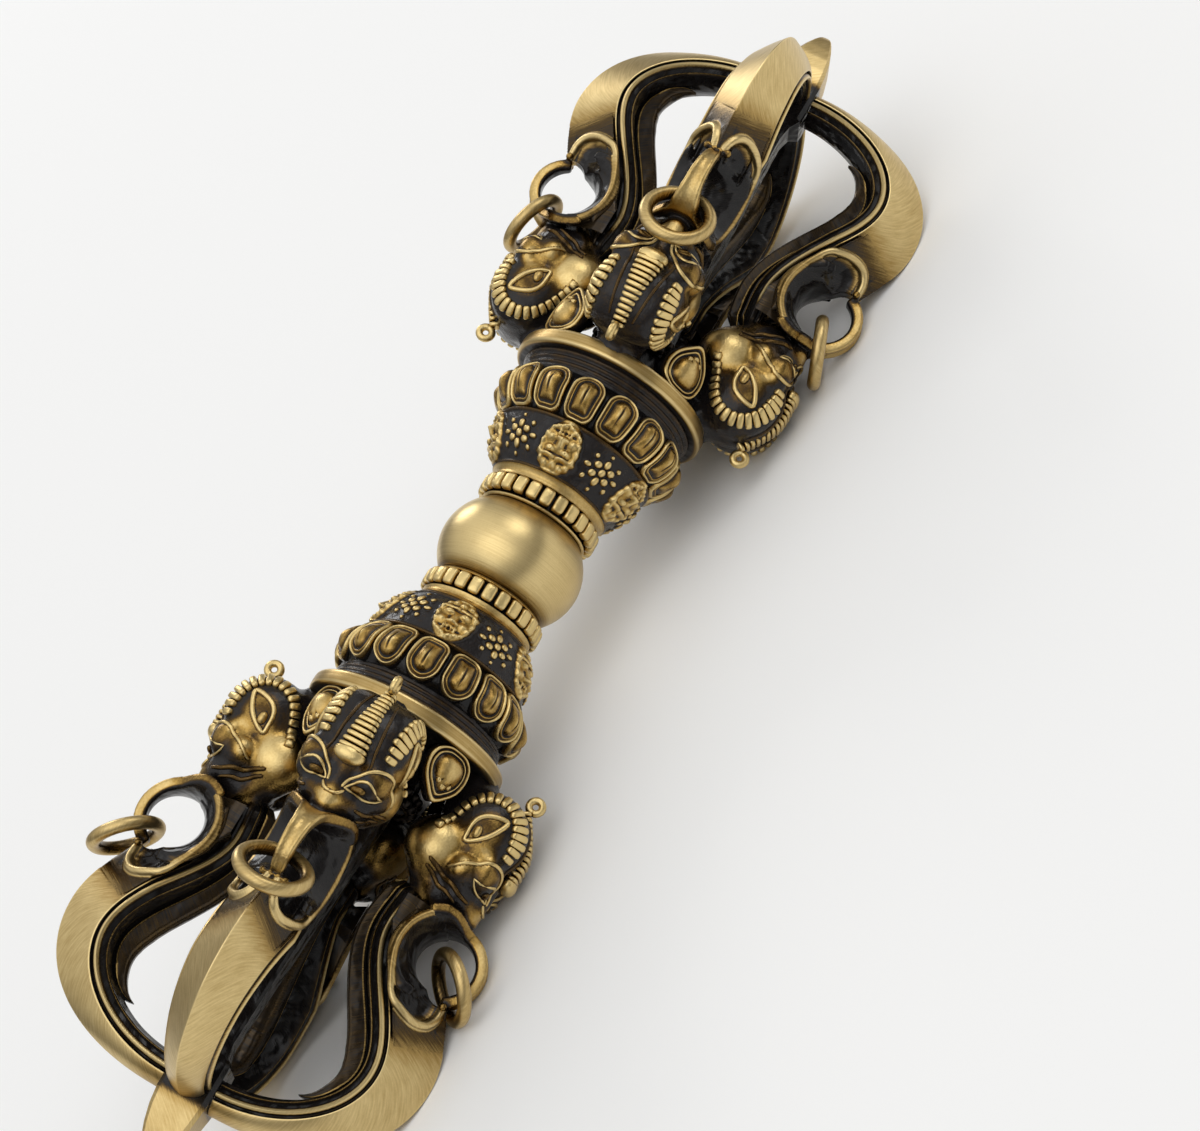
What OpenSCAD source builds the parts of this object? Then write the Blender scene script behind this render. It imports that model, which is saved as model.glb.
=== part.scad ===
// Five-pronged ritual sceptre in antique brass, lying on two blades at each end.
// The axis runs along X, and the origin is on the table below the middle of the grip ball.
// Each end is the mirror image of the other: lotus stack, four makara heads, four blades, a spear.

/* [Grip ball] */
// Diameter of the grip ball
ball_d = 16.4; // [14.4:0.2:20]
// Length of the ball between its two flats
ball_l = 9.4; // [7:0.2:12]
// Diameter of the flat at each end of the ball
ball_flat_d = 12.2; // [10:0.2:13.4]

/* [Tie rod] */
// Diameter of the rod that clamps the stack together
rod_d = 4; // [3:0.1:5]
// Depth that the rod screws into each spear boss
rod_grip = 5; // [3:0.1:5.6]
// Radial clearance of the rod in every bore
rod_fit = 0.05; // [0.02:0.01:0.1]

/* [Beaded collar] */
// Length of the collar
collar_l = 3.8; // [3.2:0.1:6]
// Diameter over the row of beads
bead_row_d = 14.2; // [13.2:0.1:17]
// Length of the row of beads
bead_row_l = 2; // [1:0.1:2.6]
// Diameter of the plain neck on both sides of the beads
neck_d = 12.6; // [10:0.1:13]

/* [Mask collar] */
// Length of the collar that carries the masks
mask_l = 5.7; // [4:0.1:8]
// Diameter at the end near the ball
mask_small_d = 14; // [12:0.1:16]
// Diameter at the end near the lotus
mask_large_d = 18.8; // [17:0.1:20]

/* [Lotus cup] */
// Length of the petals
petal_l = 5.4; // [4:0.1:8]
// Distance from the petals to the edge of the rim plate
petal_inset = 0.25; // [0:0.05:1]
// Length of the plain shoulder beyond the petals
shoulder_l = 2.1; // [1:0.1:4]
// Diameter of the shoulder
shoulder_d = 20.6; // [19:0.1:22]

/* [Rim plate] */
// Diameter of the plate that the heads stand on
rim_d = 22.9; // [22.4:0.1:26]
// Thickness of the plate
rim_t = 1.8; // [1.2:0.1:3]

/* [Corner leaves] */
// Width of each leaf
leaf_w = 5; // [3.6:0.1:5.4]
// Height of each leaf above the plate
leaf_l = 5.2; // [4:0.1:7]
// Thickness of each leaf
leaf_t = 1.6; // [1:0.1:2]
// Diameter of the jewel on each leaf
jewel_d = 2.4; // [1.6:0.1:3]
// Margin of plate outside each leaf
leaf_margin = 0.25; // [0.1:0.05:0.6]

/* [Spear] */
// Diameter of the round boss at the foot of the spear
boss_d = 8.6; // [7.6:0.1:9.4]
// Length of the boss
boss_l = 7; // [6:0.1:9]
// Width of the square shaft where it leaves the boss
shaft_w = 5.8; // [4:0.1:6]
// Width of the shaft at its waist, below the spear head
waist_w = 3.2; // [2.4:0.1:4]
// Width of the spear head, which the blades close on
head_w = 5.6; // [4.4:0.1:6]
// Length of the spear head beyond the blades
head_l = 7.6; // [5:0.1:12]
// Width of the blunt tip
tip_w = 1.2; // [0.8:0.1:2]

/* [Bead string] */
// Thickness of the beaded string round the boss
string_d = 1.6; // [1:0.1:1.8]
// Gap between the string and the boss
string_fit = 0.05; // [0.02:0.01:0.1]
// Distance of the string from the rim plate
string_up = 5.6; // [3:0.1:6]

/* [Makara heads] */
// Diameter of the skull
skull_d = 11.4; // [10:0.1:12]
// Distance of the skull's centre from the axis
skull_r = 12.6; // [12.2:0.1:14]
// Distance of the skull's centre from the rim plate
skull_up = 6; // [5.8:0.1:7]
// Diameter of the round muzzle
muzzle_d = 9; // [7.6:0.1:9.6]
// Distance of the muzzle's centre from the axis
muzzle_r = 11.6; // [11.4:0.1:12.2]
// Distance of the muzzle's end from the rim plate
muzzle_up = 13.1; // [12:0.1:16]
// Thickness of the crest over the head
crest_t = 2.2; // [1.4:0.1:3]
// Height that the crest stands above the skull
crest_rise = 0.3; // [0.1:0.05:0.3]
// Diameter of the curl that ends the crest
curl_d = 2.2; // [1.6:0.1:3]
// Diameter of each eye
eye_d = 2.4; // [1.6:0.1:3]
// Diameter of the pad under the head
pad_d = 5.2; // [3.6:0.1:5.4]
// Distance of the pad's centre from the axis
pad_r = 8.6; // [8.2:0.1:8.8]

/* [Dowel pins] */
// Diameter of the pin between each head and the rim plate
dowel_d = 2; // [1.4:0.1:2.4]
// Length of the pin inside the head
dowel_grip = 2.6; // [2:0.1:4]
// Radial clearance of the pin
dowel_fit = 0.03; // [0.02:0.01:0.1]

/* [Trunk loop] */
// Distance of the loop's centre beyond the muzzle's end
loop_ahead = 5.9; // [5.6:0.1:7]
// Distance of the loop's centre from the axis
loop_r = 16.2; // [15.8:0.1:17]
// Radius of the loop to the middle of the trunk
loop_bend = 3.7; // [3.4:0.05:4]
// Thickness of the trunk
trunk_d = 1.4; // [1.1:0.05:1.6]
// Thickness of the snout that the trunk grows from
snout_d = 3; // [2.4:0.1:3.4]
// Diameter of the bead at the trunk's end
trunk_bead_d = 1.9; // [1.6:0.05:2.2]

/* [Blades] */
// Distance of the waist of the blade beyond the muzzle's end
waist_ahead = 4.9; // [3.5:0.1:6]
// Distance of the bead line from the axis at the waist
waist_r = 9.3; // [9:0.1:10]
// Distance of the bead line from the axis where the blade leaves the head
root_r = 9.7; // [9.4:0.1:10.4]
// Distance of the widest point of the bead line beyond the muzzle's end
belly_ahead = 19.6; // [17:0.1:23]
// Distance of the bead line from the axis at its widest point
belly_r = 15.85; // [14:0.05:17]
// Distance of the bead line beyond the muzzle's end where it meets the spear
crown_ahead = 28.8; // [26:0.1:34]
// Distance from the bead line to the ridge at the belly
ridge_rise = 5.55; // [4:0.05:6.5]
// Distance from the bead line to the ridge at the spear
crown_rise = 2; // [1.2:0.05:3]
// Half width of the blade at its shoulder
shoulder_w = 3.9; // [3:0.1:4.2]
// Half width of the blade at its belly
belly_w = 3.5; // [2.6:0.1:4]
// Half width of the blade at the spear
crown_w = 2; // [1.4:0.1:2.4]
// Half width of the stem behind the loop
stem_w = 2.4; // [1.8:0.1:2.8]
// Depth of the fin inside the bead line at the belly
fin_belly = 3.5; // [2:0.1:4]
// Depth of the fin inside the bead line at the stem
fin_stem = 3.1; // [2:0.1:3.2]
// Depth of the frame inside the bead line at the spear
fin_crown = 1.9; // [1.5:0.1:2.5]
// Radius of the scroll's rim round the loop's centre
rim_r = 4.75; // [4.4:0.05:5]
// Half width of the scroll's rim
rim_w = 4.3; // [3.4:0.1:4.6]
// Length of the tenon that enters the head
tenon_l = 2.4; // [1.6:0.1:3.4]
// Width of the tenon
tenon_w = 2.8; // [2:0.1:3.4]
// Clearance round the tenon
tenon_fit = 0.06; // [0.03:0.01:0.12]
// Gap between each blade and the spear head
spear_fit = 0.1; // [0.05:0.05:0.3]

/* [Rings] */
// Outside diameter of each loose ring
ring_d = 8.5; // [7.6:0.1:8.9]
// Thickness of the ring's wire
ring_wire = 1.5; // [1.2:0.1:1.6]
// Gap between a ring and the trunk that it hangs on
ring_gap = 0.35; // [0.2:0.05:0.5]
// Angle at which the right rings lean to their heads
right_lean = -70; // [-70:1:-40]
// Angle at which the left rings lean to their blades
left_lean = 44; // [20:1:44]
// Shift of a lower ring away from the table
lower_shift = 1.3; // [1:0.1:1.4]
// Turn of a lower left ring towards the table
lower_left_turn = 18; // [14:1:20]

/* [Hidden] */
$fn = 64;
brass = [0.72, 0.55, 0.27];
aged = [0.42, 0.32, 0.17];
dark = [0.2, 0.16, 0.11];

// The two ends and the four corners that the prongs point to
SIDES = [["left", -1], ["right", 1]];
CORNERS = ["upper_front", "lower_front", "lower_back", "upper_back"];

// The petals follow the plate above them
petal_d = rim_d - 2 * petal_inset;

// Places along the axis, counted from the middle of the ball
collar_x = ball_l / 2;
mask_x = collar_x + collar_l;
cup_x = mask_x + mask_l;
rim_x = cup_x + petal_l + shoulder_l;
seat_x = rim_x + rim_t;
muzzle_x = seat_x + muzzle_up;
crown_x = muzzle_x + crown_ahead;

// Shape of the blade's bead line: three curves through root, waist, belly and crown
bead_curve_reach = 5;
crown_pull = 0.53;
crown_r = head_w / 2 + spear_fit;
root = [muzzle_x, root_r];
waist = [muzzle_x + waist_ahead, waist_r];
belly = [muzzle_x + belly_ahead, belly_r];
crown = [crown_x, crown_r];
stem_reach = [waist_ahead / 3, 0];
bead_curves = [
    [root, root + stem_reach, waist - stem_reach, waist],
    [waist, waist + [bead_curve_reach, 0], belly - [bead_curve_reach, 0], belly],
    [belly, belly + [bead_curve_reach, 0], crown + [0, (belly_r - crown_r) * crown_pull], crown],
];

// The ridge starts at a horn beside the loop, and runs over the belly to the crown
loop_c = [muzzle_x + loop_ahead, loop_r];
horn_angle = 58;
horn_out = 1.7;
scroll_from = 235;
scroll_clear = 0.15;
ridge_back = 1.7;
ridge_pull = 0.63;
ridge_bulge = 0.1;
horn_handle = [2.4, 1.2];
top_handle_back = [2.6, 0];
top_handle_ahead = [7.4, 0];
horn = loop_c + (loop_bend + horn_out) * [sin(horn_angle), cos(horn_angle)];
ridge_top = belly + [-ridge_back, ridge_rise];
ridge_end = crown + [crown_rise, 0];
end_handle = [ridge_bulge, (ridge_top.y - crown_r) * ridge_pull];
ridge_curves = [
    [horn, horn + horn_handle, ridge_top - top_handle_back, ridge_top],
    [ridge_top, ridge_top + top_handle_ahead, ridge_end + end_handle, ridge_end],
];

// The blade rests on its ridge, so the axis lies this far above the table
ridge_flat = 0.15;
curve_step = 0.05;
ridge_max = max([for (curve = ridge_curves, u = [0:curve_step:1]) bezier(curve, u).y]);
axis_z = (ridge_max + ridge_flat) * cos(45);

// Stations along the blade: 0 root, 1 waist, 2 belly, 3 crown
scroll_start = 0.55;
ridge_start = 1.62;
ridge_bias = 0.48;
scroll_blend = [0.25, 0.75];
scroll_inner_angle = 125;
rim_in = [0.45, 0.75];
rim_out = [1.15, 1.55];
top_narrow = 1.2;
shoulder_at = 1.6;
fin_from = 2.35;
fin_to = 2.65;
blade_steps = 44;
edge_rise = 0.8;
frame_drop = 0.9;
frame_step = 0.35;
fin_drop = 1.3;
fin_w = 1.4;
fin_edge_w = 0.8;
stem_rise = 1.6;
stem_top_w = 0.6;

function bezier(p, u) = let (w = 1 - u)
    p[0] * w ^ 3 + 3 * p[1] * u * w ^ 2 + 3 * p[2] * u ^ 2 * w + p[3] * u ^ 3;
function slope(p, u) = let (w = 1 - u)
    (p[1] - p[0]) * w ^ 2 + 2 * (p[2] - p[1]) * u * w + (p[3] - p[2]) * u ^ 2;
function mix(a, b, share) = a * (1 - share) + b * share;
function share(a, b, v) = min(1, max(0, (v - a) / (b - a)));
function smooth(a, b, v) = let (q = share(a, b, v)) q * q * (3 - 2 * q);
function piece(v) = min(2, floor(v));
function bead(v) = bezier(bead_curves[piece(v)], v - piece(v));
function outward(v) = let (d = slope(bead_curves[piece(v)], v - piece(v))) [-d.y, d.x] / norm(d);
function round_loop(angle, radius) = loop_c + radius * [sin(angle), cos(angle)];

// Angle round the loop, and share of scroll, at a station
function scroll_angle(v) = mix(scroll_from, horn_angle, share(scroll_start, ridge_start, v));
function scroll_share(v) = smooth(rim_in[0], rim_in[1], v) * (1 - smooth(rim_out[0], rim_out[1], v));
function scroll_radius(angle) = let (inner = loop_bend - trunk_d / 2 + scroll_clear)
    mix(loop_bend + horn_out, inner, smooth(horn_angle, scroll_inner_angle, angle));

// Lines of the blade: the ridge or top, the side edge and the half widths
function ridge(v) = v < 2
    ? bezier(ridge_curves[0], (v - ridge_start) / (2 - ridge_start))
    : let (u = v - 2) bezier(ridge_curves[1], u + ridge_bias * u * (1 - u));
function top(v) = v > ridge_start ? ridge(v)
    : mix(bead(v) + stem_rise * outward(v), round_loop(scroll_angle(v), scroll_radius(scroll_angle(v))),
        smooth(scroll_blend[0], scroll_blend[1], v));
function top_w(v) = mix(stem_top_w, ridge_flat, smooth(top_narrow, ridge_start, v));
function edge_w(v) = lookup(v, [[0, stem_w], [1, stem_w], [shoulder_at, shoulder_w],
    [2, belly_w], [3, crown_w]]);
function fin(v) = lookup(v, [[0, fin_stem], [1, fin_stem], [2, fin_belly],
    [fin_from, fin_belly], [fin_to, fin_crown], [3, fin_crown]]);

// One closed outline of the blade, from the ridge round the right side and back
function half_outline(v) = let (
        b = bead(v),
        n = outward(v),
        t = top(v),
        e = b + edge_rise * n,
        w = edge_w(v),
        scroll = scroll_share(v),
        rim = mix((t + e) / 2, round_loop(scroll_angle(v), rim_r), scroll),
        rim_half = mix((top_w(v) + w) / 2, rim_w, scroll),
        drop = min(fin(v), fin_drop)
    ) [
        [t, top_w(v)], [rim, rim_half], [e, w],
        [b - frame_drop * n, w - frame_step], [b - drop * n, fin_w], [b - fin(v) * n, fin_edge_w],
    ];
tenon_corner = 0.6;
tenon_side = 0.9;
tenon_shoulder = 0.7;
tenon_middle = 0.25;
function tenon_outline(x) = let (
        h = tenon_w / 2,
        p = [x, root_r],
        up = [0, edge_rise],
        down = [0, -frame_drop]
    ) [
        [p + up, h * tenon_corner], [p + up * tenon_shoulder, h * tenon_side],
        [p + up * tenon_middle, h], [p + down * tenon_middle, h],
        [p + down * tenon_shoulder, h * tenon_side], [p + down, h * tenon_corner],
    ];
function whole_outline(half) = concat(
    [for (q = half) [q[0].x, q[1], q[0].y]],
    [for (i = [len(half) - 1:-1:0]) [half[i][0].x, -half[i][1], half[i][0].y]]);

// Rings by side and corner: angle on the loop, distance out, turn and sideways shift
ring_mean = (ring_d - ring_wire) / 2;
ring_slack = ring_mean - (trunk_d + ring_wire) / 2 - ring_gap;
function ring_lean(side) = side > 0 ? right_lean : left_lean;
function ring_shift(corner) = corner == 1 ? lower_shift : corner == 2 ? -lower_shift : 0;
function ring_turn(side, corner) = side < 0 ? sign(ring_shift(corner)) * lower_left_turn : 0;
function ring_reach(side, corner) = let (slide = sqrt(ring_slack ^ 2 - ring_shift(corner) ^ 2))
    ring_turn(side, corner) == 0 ? loop_bend + slide : loop_bend - slide;

function prong(side, corner, piece) = str(side, "_", corner, "_", piece);

// Solid of revolution round the axis from [radius, place] points
module turned(points) {
    rotate([0, 90, 0]) rotate_extrude() polygon(points);
}

// Round bar along the axis from one place to another
module bar(from, to, d) {
    translate([from, 0, 0]) rotate([0, 90, 0]) cylinder(h = to - from, d = d);
}

// Clearance bore for the tie rod
module rod_bore(from, to) {
    bar(from - 1, to + 1, rod_d + 2 * rod_fit);
}

module at_end(side) {
    translate([0, 0, axis_z]) mirror([side < 0 ? 1 : 0, 0, 0]) children();
}

module at_prong(side, corner) {
    at_end(side) rotate([45 + 90 * corner, 0, 0]) children();
}

// The part of a crosswise round bar that a child needs, across the blade's plane
module across(place, d, w) {
    translate([place.x, 0, place.y]) rotate([90, 0, 0]) cylinder(h = w, d = d, center = true);
}

module grip_ball() {
    half = ball_l / 2;
    reach = half / sqrt(1 - (ball_flat_d / ball_d) ^ 2);
    steps = 20;
    outline = [for (i = [0:steps]) let (x = mix(-half, half, i / steps))
        [ball_d / 2 * sqrt(1 - (x / reach) ^ 2), x]];
    color(brass) translate([0, 0, axis_z]) difference() {
        turned(concat([[0, -half]], outline, [[0, half]]));
        rod_bore(-half, half);
    }
}

module tie_rod() {
    reach = seat_x + rod_grip;
    color(dark) translate([0, 0, axis_z]) bar(-reach, reach, rod_d);
}

module beaded_collar() {
    end = collar_x + collar_l;
    middle = collar_x + collar_l / 2;
    color(aged) difference() {
        union() {
            bar(collar_x, end, neck_d);
            rotate([0, 90, 0]) translate([0, 0, middle]) rotate_extrude()
                translate([(bead_row_d - bead_row_l) / 2, 0]) circle(d = bead_row_l);
        }
        rod_bore(collar_x, end);
    }
}

module mask_collar() {
    flare = [[0, 0], [0.3, 0.5], [0.65, 0.85], [1, 1]];
    outline = [for (p = flare) [mix(mask_small_d, mask_large_d, p[1]) / 2, mask_x + mask_l * p[0]]];
    color(dark) difference() {
        turned(concat([[0, mask_x]], outline, [[0, cup_x]]));
        rod_bore(mask_x, cup_x);
    }
}

module lotus_cup() {
    steps = 10;
    swell = (petal_d - mask_large_d) / 2;
    tuck = (petal_d - shoulder_d) / 2;
    peak = 0.65;
    petals = [for (i = [0:steps]) let (q = i / steps, x = cup_x + petal_l * q)
        [petal_d / 2 - (q < peak ? swell * (1 - q / peak) ^ 2 : tuck * ((q - peak) / (1 - peak)) ^ 2), x]];
    color(aged) difference() {
        turned(concat([[0, cup_x]], petals, [[shoulder_d / 2, rim_x], [0, rim_x]]));
        rod_bore(cup_x, rim_x);
    }
}

module rim_plate() {
    chamfer = rim_t / 5;
    color(brass) difference() {
        turned([[0, rim_x], [rim_d / 2 - chamfer, rim_x], [rim_d / 2, rim_x + chamfer],
            [rim_d / 2, seat_x - chamfer], [rim_d / 2 - chamfer, seat_x], [0, seat_x]]);
        rod_bore(rim_x, seat_x);
        for (corner = [0:3]) rotate([45 + 90 * corner, 0, 0]) translate([0, 0, pad_r])
            bar(rim_x - 1, seat_x + 1, dowel_d + 2 * dowel_fit);
    }
}

// A leaf stands on the plate between two heads, with a jewel on its outer face
module corner_leaf() {
    foot = leaf_w * 0.7;
    outer = sqrt((rim_d / 2 - rim_t / 5 - leaf_margin) ^ 2 - (foot / 2) ^ 2);
    middle = seat_x + leaf_l - leaf_w / 2;
    translate([middle, 0, outer - leaf_t]) cylinder(h = leaf_t, d = leaf_w);
    translate([seat_x, -foot / 2, outer - leaf_t]) cube([middle - seat_x, foot, leaf_t]);
    translate([middle, 0, outer]) sphere(d = jewel_d);
}

module corner_leaves() {
    color(brass) for (corner = [0:3]) rotate([90 * corner, 0, 0]) corner_leaf();
}

// The square shaft narrows to its waist, swells to the head and ends in a blunt point
module spear() {
    tip_x = crown_x + crown_rise + head_l;
    head_from = crown_x - fin_crown - 1;
    end = seat_x + boss_l;
    waist_share = 0.4;
    waist_back = 2.5;
    taper_share = 0.7;
    taper_w = head_w * 0.62;
    point_l = 0.6;
    point_w = tip_w * 1.4;
    places = [[end - 1, shaft_w], [mix(end, head_from, waist_share), (shaft_w + waist_w) / 2],
        [head_from - waist_back, waist_w], [head_from, head_w], [crown_x + crown_rise, head_w],
        [mix(crown_x, tip_x, taper_share), taper_w], [tip_x - point_l, point_w], [tip_x, tip_w]];
    turn = [[-1, -1], [1, -1], [1, 1], [-1, 1]];
    points = [for (p = places, c = turn) [p[0], c.x * p[1] / 2, c.y * p[1] / 2]];
    last = len(places) - 1;
    sides = [for (i = [0:last - 1], j = [0:3]) let (k = (j + 1) % 4)
        [4 * i + j, 4 * i + 4 + j, 4 * i + 4 + k, 4 * i + k]];
    color(brass) difference() {
        union() {
            bar(seat_x, end, boss_d);
            rotate([45, 0, 0])
                polyhedron(points, concat(sides, [[0, 1, 2, 3], [for (j = [3:-1:0]) 4 * last + j]]));
        }
        bar(seat_x - 1, seat_x + rod_grip + 0.5, rod_d + 2 * rod_fit);
    }
}

module bead_string() {
    radius = (boss_d + string_d) / 2 + string_fit;
    color(dark) translate([seat_x + string_up, 0, 0]) rotate([0, 90, 0]) rotate_extrude()
        translate([radius, 0]) circle(d = string_d);
}

module dowel_pins() {
    color(aged) for (corner = [0:3]) rotate([45 + 90 * corner, 0, 0]) translate([0, 0, pad_r])
        bar(rim_x + 0.1, seat_x + dowel_grip, dowel_d);
}

// The trunk swings out of the snout and ends in a bead beside the blade's horn
module trunk() {
    from = -100;
    to = 78;
    tip = round_loop(to, loop_bend);
    translate([loop_c.x, 0, loop_c.y]) rotate([90, 0, 0]) rotate([0, 0, 90 - to])
        rotate_extrude(angle = to - from) translate([loop_bend, 0]) circle(d = trunk_d);
    translate([tip.x, 0, tip.y]) sphere(d = trunk_bead_d);
    translate([0, 0, loop_r - snout_d / 5]) bar(muzzle_x - muzzle_up / 3, loop_c.x - loop_bend, snout_d);
}

module makara() {
    skull = [seat_x + skull_up, skull_r];
    crest_d = skull_d + 2 * crest_rise;
    curl_angle = 28;
    curl = skull + (crest_d / 2 + curl_d / 4) * [-cos(curl_angle), sin(curl_angle)];
    eye = [skull.x, 0, skull.y] + skull_d * [0.34, 0, 0.27];
    eye_apart = skull_d / 2;
    pocket = tenon_w + 2 * tenon_fit;
    color(brass) difference() {
        union() {
            translate([skull.x, 0, skull.y]) sphere(d = skull_d);
            translate([0, 0, muzzle_r]) bar(skull.x, muzzle_x, muzzle_d);
            translate([0, 0, pad_r]) bar(seat_x, skull.x, pad_d);
            across(skull, crest_d, crest_t);
            across(curl, curl_d, crest_t + 0.6);
            for (y = [-1, 1]) translate(eye + [0, y * eye_apart / 2, 0]) sphere(d = eye_d);
            trunk();
        }
        translate([muzzle_x - tenon_l - tenon_fit, -pocket / 2, root_r - frame_drop - tenon_fit])
            cube([tenon_l + 1, pocket, edge_rise + frame_drop + 2 * tenon_fit]);
        translate([0, 0, pad_r]) bar(seat_x - 1, seat_x + dowel_grip + 0.1, dowel_d + 2 * dowel_fit);
    }
}

module blade() {
    rows = concat(
        [whole_outline(tenon_outline(muzzle_x - tenon_l)), whole_outline(tenon_outline(muzzle_x))],
        [for (i = [0:blade_steps]) whole_outline(half_outline(3 * i / blade_steps))]);
    n = len(rows[0]);
    last = len(rows) - 1;
    points = [for (row = rows, p = row) p];
    sides = [for (i = [0:last - 1], j = [0:n - 1]) let (k = (j + 1) % n)
        [n * i + j, n * i + k, n * i + n + k, n * i + n + j]];
    pairs = [for (j = [0:n / 2 - 2]) [n - 1 - j, n - 2 - j, j + 1, j]];
    far_pairs = [for (p = pairs) [for (j = [3:-1:0]) n * last + p[j]]];
    color(brass) polyhedron(points, concat(pairs, sides, far_pairs));
}

// A loose ring threaded on the trunk, shifted sideways where the table lifts it
module ring(side, corner) {
    color(brass) translate([loop_c.x, 0, loop_c.y]) rotate([0, ring_lean(side), 0])
        translate([0, ring_shift(corner), ring_reach(side, corner)])
        rotate([0, 0, ring_turn(side, corner)]) rotate([0, 90, 0]) rotate_extrude()
        translate([ring_mean, 0]) circle(d = ring_wire);
}

grip_ball();
tie_rod();
for (s = SIDES) {
    at_end(s[1]) beaded_collar();
    at_end(s[1]) mask_collar();
    at_end(s[1]) lotus_cup();
    at_end(s[1]) rim_plate();
    at_end(s[1]) corner_leaves();
    at_end(s[1]) spear();
    at_end(s[1]) bead_string();
    at_end(s[1]) dowel_pins();
    for (c = [0:3]) {
        at_prong(s[1], c) makara();
        at_prong(s[1], c) blade();
        at_prong(s[1], c) ring(s[1], c);
    }
}
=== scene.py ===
import math
import bmesh
import bpy
import numpy as np
from mathutils import Matrix, Vector
from mathutils.bvhtree import BVHTree


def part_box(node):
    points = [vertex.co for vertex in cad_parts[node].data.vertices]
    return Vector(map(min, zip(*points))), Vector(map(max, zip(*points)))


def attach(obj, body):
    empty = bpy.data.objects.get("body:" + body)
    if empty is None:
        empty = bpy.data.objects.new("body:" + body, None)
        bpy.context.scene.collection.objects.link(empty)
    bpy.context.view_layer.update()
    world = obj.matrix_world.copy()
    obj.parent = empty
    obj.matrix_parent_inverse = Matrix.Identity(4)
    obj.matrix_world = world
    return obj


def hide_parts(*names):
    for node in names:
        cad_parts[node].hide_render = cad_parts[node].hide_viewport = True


# Five-pronged sceptre in antique brass. Meshes are drawn in mm, along X from the middle of the grip
# ball, with Y across a prong and Z away from the axis, and are then placed in the frame in metres.
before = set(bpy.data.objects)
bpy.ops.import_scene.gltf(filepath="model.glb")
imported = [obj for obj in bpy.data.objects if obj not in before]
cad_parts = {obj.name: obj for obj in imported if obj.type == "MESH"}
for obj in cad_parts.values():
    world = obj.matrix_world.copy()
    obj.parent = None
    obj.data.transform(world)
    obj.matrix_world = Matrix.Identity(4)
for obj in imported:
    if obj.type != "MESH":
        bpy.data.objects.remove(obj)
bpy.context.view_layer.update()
scene = bpy.context.scene
mm = 0.001
tiny = 1e-9
ballLow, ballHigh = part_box("grip_ball")
axisHeight = (ballLow.z + ballHigh.z) / 2
sides = {"left": -1, "right": 1}
corners = ("upper_front", "lower_front", "lower_back", "upper_back")
firstProngTurn, prongTurn = 45, 90
print("frame:", len(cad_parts), "nodes, axis", round(axisHeight / mm, 2), "mm above the floor")


def linear(hexColour):
    parts = [int(hexColour[i:i + 2], 16) / 255 for i in (1, 3, 5)]
    return [c / 12.92 if c <= 0.04045 else ((c + 0.055) / 1.055) ** 2.4 for c in parts] + [1]


def addNode(tree, kind, inputs=(), **settings):
    node = tree.nodes.new(kind)
    for key, value in settings.items():
        setattr(node, key, value)
    for key, value in dict(inputs).items():
        if isinstance(value, bpy.types.NodeSocket):
            tree.links.new(value, node.inputs[key])
        else:
            node.inputs[key].default_value = value
    return node


# Finishes: cast brass under a dark patina that was rubbed back on the high spots.
# The mesh attribute relief is 0 in a recess and 1 on a worn edge; on the thin ribs along a blade's rail and
# fin it also holds a painted highlight. Real grain and strokes are finer than the render can show, so both
# are drawn as coarse as they need to be.
castRamp = ((0.0, "#0b0909"), (0.2, "#221e1d"), (0.42, "#5a4526"), (0.64, "#ab8a4b"), (0.9, "#dfc588"))
brushedRamp = ((0.0, "#0b0909"), (0.22, "#221f1e"), (0.44, "#5a482c"), (0.66, "#ab8e56"), (0.95, "#dcc48c"))
darkRamp = ((0.0, "#0b0909"), (0.35, "#2b2725"), (0.6, "#4b443d"), (0.8, "#7d6a45"), (1.0, "#caa96c"))
finishes = {
    # Heads, petals, masks, leaves: black hollows, warm gold on what stands out
    "rubbedCastBrass": {
        "slot": "aged_brass", "ramp": castRamp, "blotchMm": 1.6, "blotch": 0.12, "grainMm": 0.22,
        "grain": 0.10, "rough": (0.19, 0.33), "bump": 0.16},
    # Blades, spears, rings: fine strokes of an abrasive wheel
    "brushedAntiqueBrass": {
        "slot": "brushed_brass", "ramp": brushedRamp, "blotchMm": 5.0, "blotch": 0.10, "grainMm": 0.2,
        "grain": 0.04, "rough": (0.18, 0.35), "bump": 0.08,
        "strokeMm": (2.4, 0.15), "strokeTurn": 52, "stroke": 0.15},
    # Ball and plates: strokes run round the axis
    "turnedAntiqueBrass": {
        "slot": "brushed_brass", "ramp": brushedRamp, "blotchMm": 5.0, "blotch": 0.08, "grainMm": 0.2,
        "grain": 0.04, "rough": (0.44, 0.31), "bump": 0.10,
        "strokeMm": (7.0, 0.08), "strokeTurn": 0, "stroke": 0.12},
    # Bead strings and hidden rods: brown-black with a soft sheen
    "darkPatinaBrass": {
        "slot": "dark_patina", "ramp": darkRamp, "blotchMm": 1.2, "blotch": 0.12, "grainMm": 0.2,
        "grain": 0.1, "rough": (0.32, 0.34), "bump": 0.14},
}
# Patina: width and depth of its waves, gloss, and the wear over which roughness and metal come in
patina = {"wavesMm": 1.8, "depthMm": 0.3, "gloss": 0.3, "roughSpan": (0.2, 0.8), "metalSpan": (0.16, 0.42),
          "blotchDetail": 3.0, "blotchRoughness": 0.6, "grainDetail": 2.0, "strokeDetail": 3.0,
          "waveDetail": 1.0}


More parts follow.
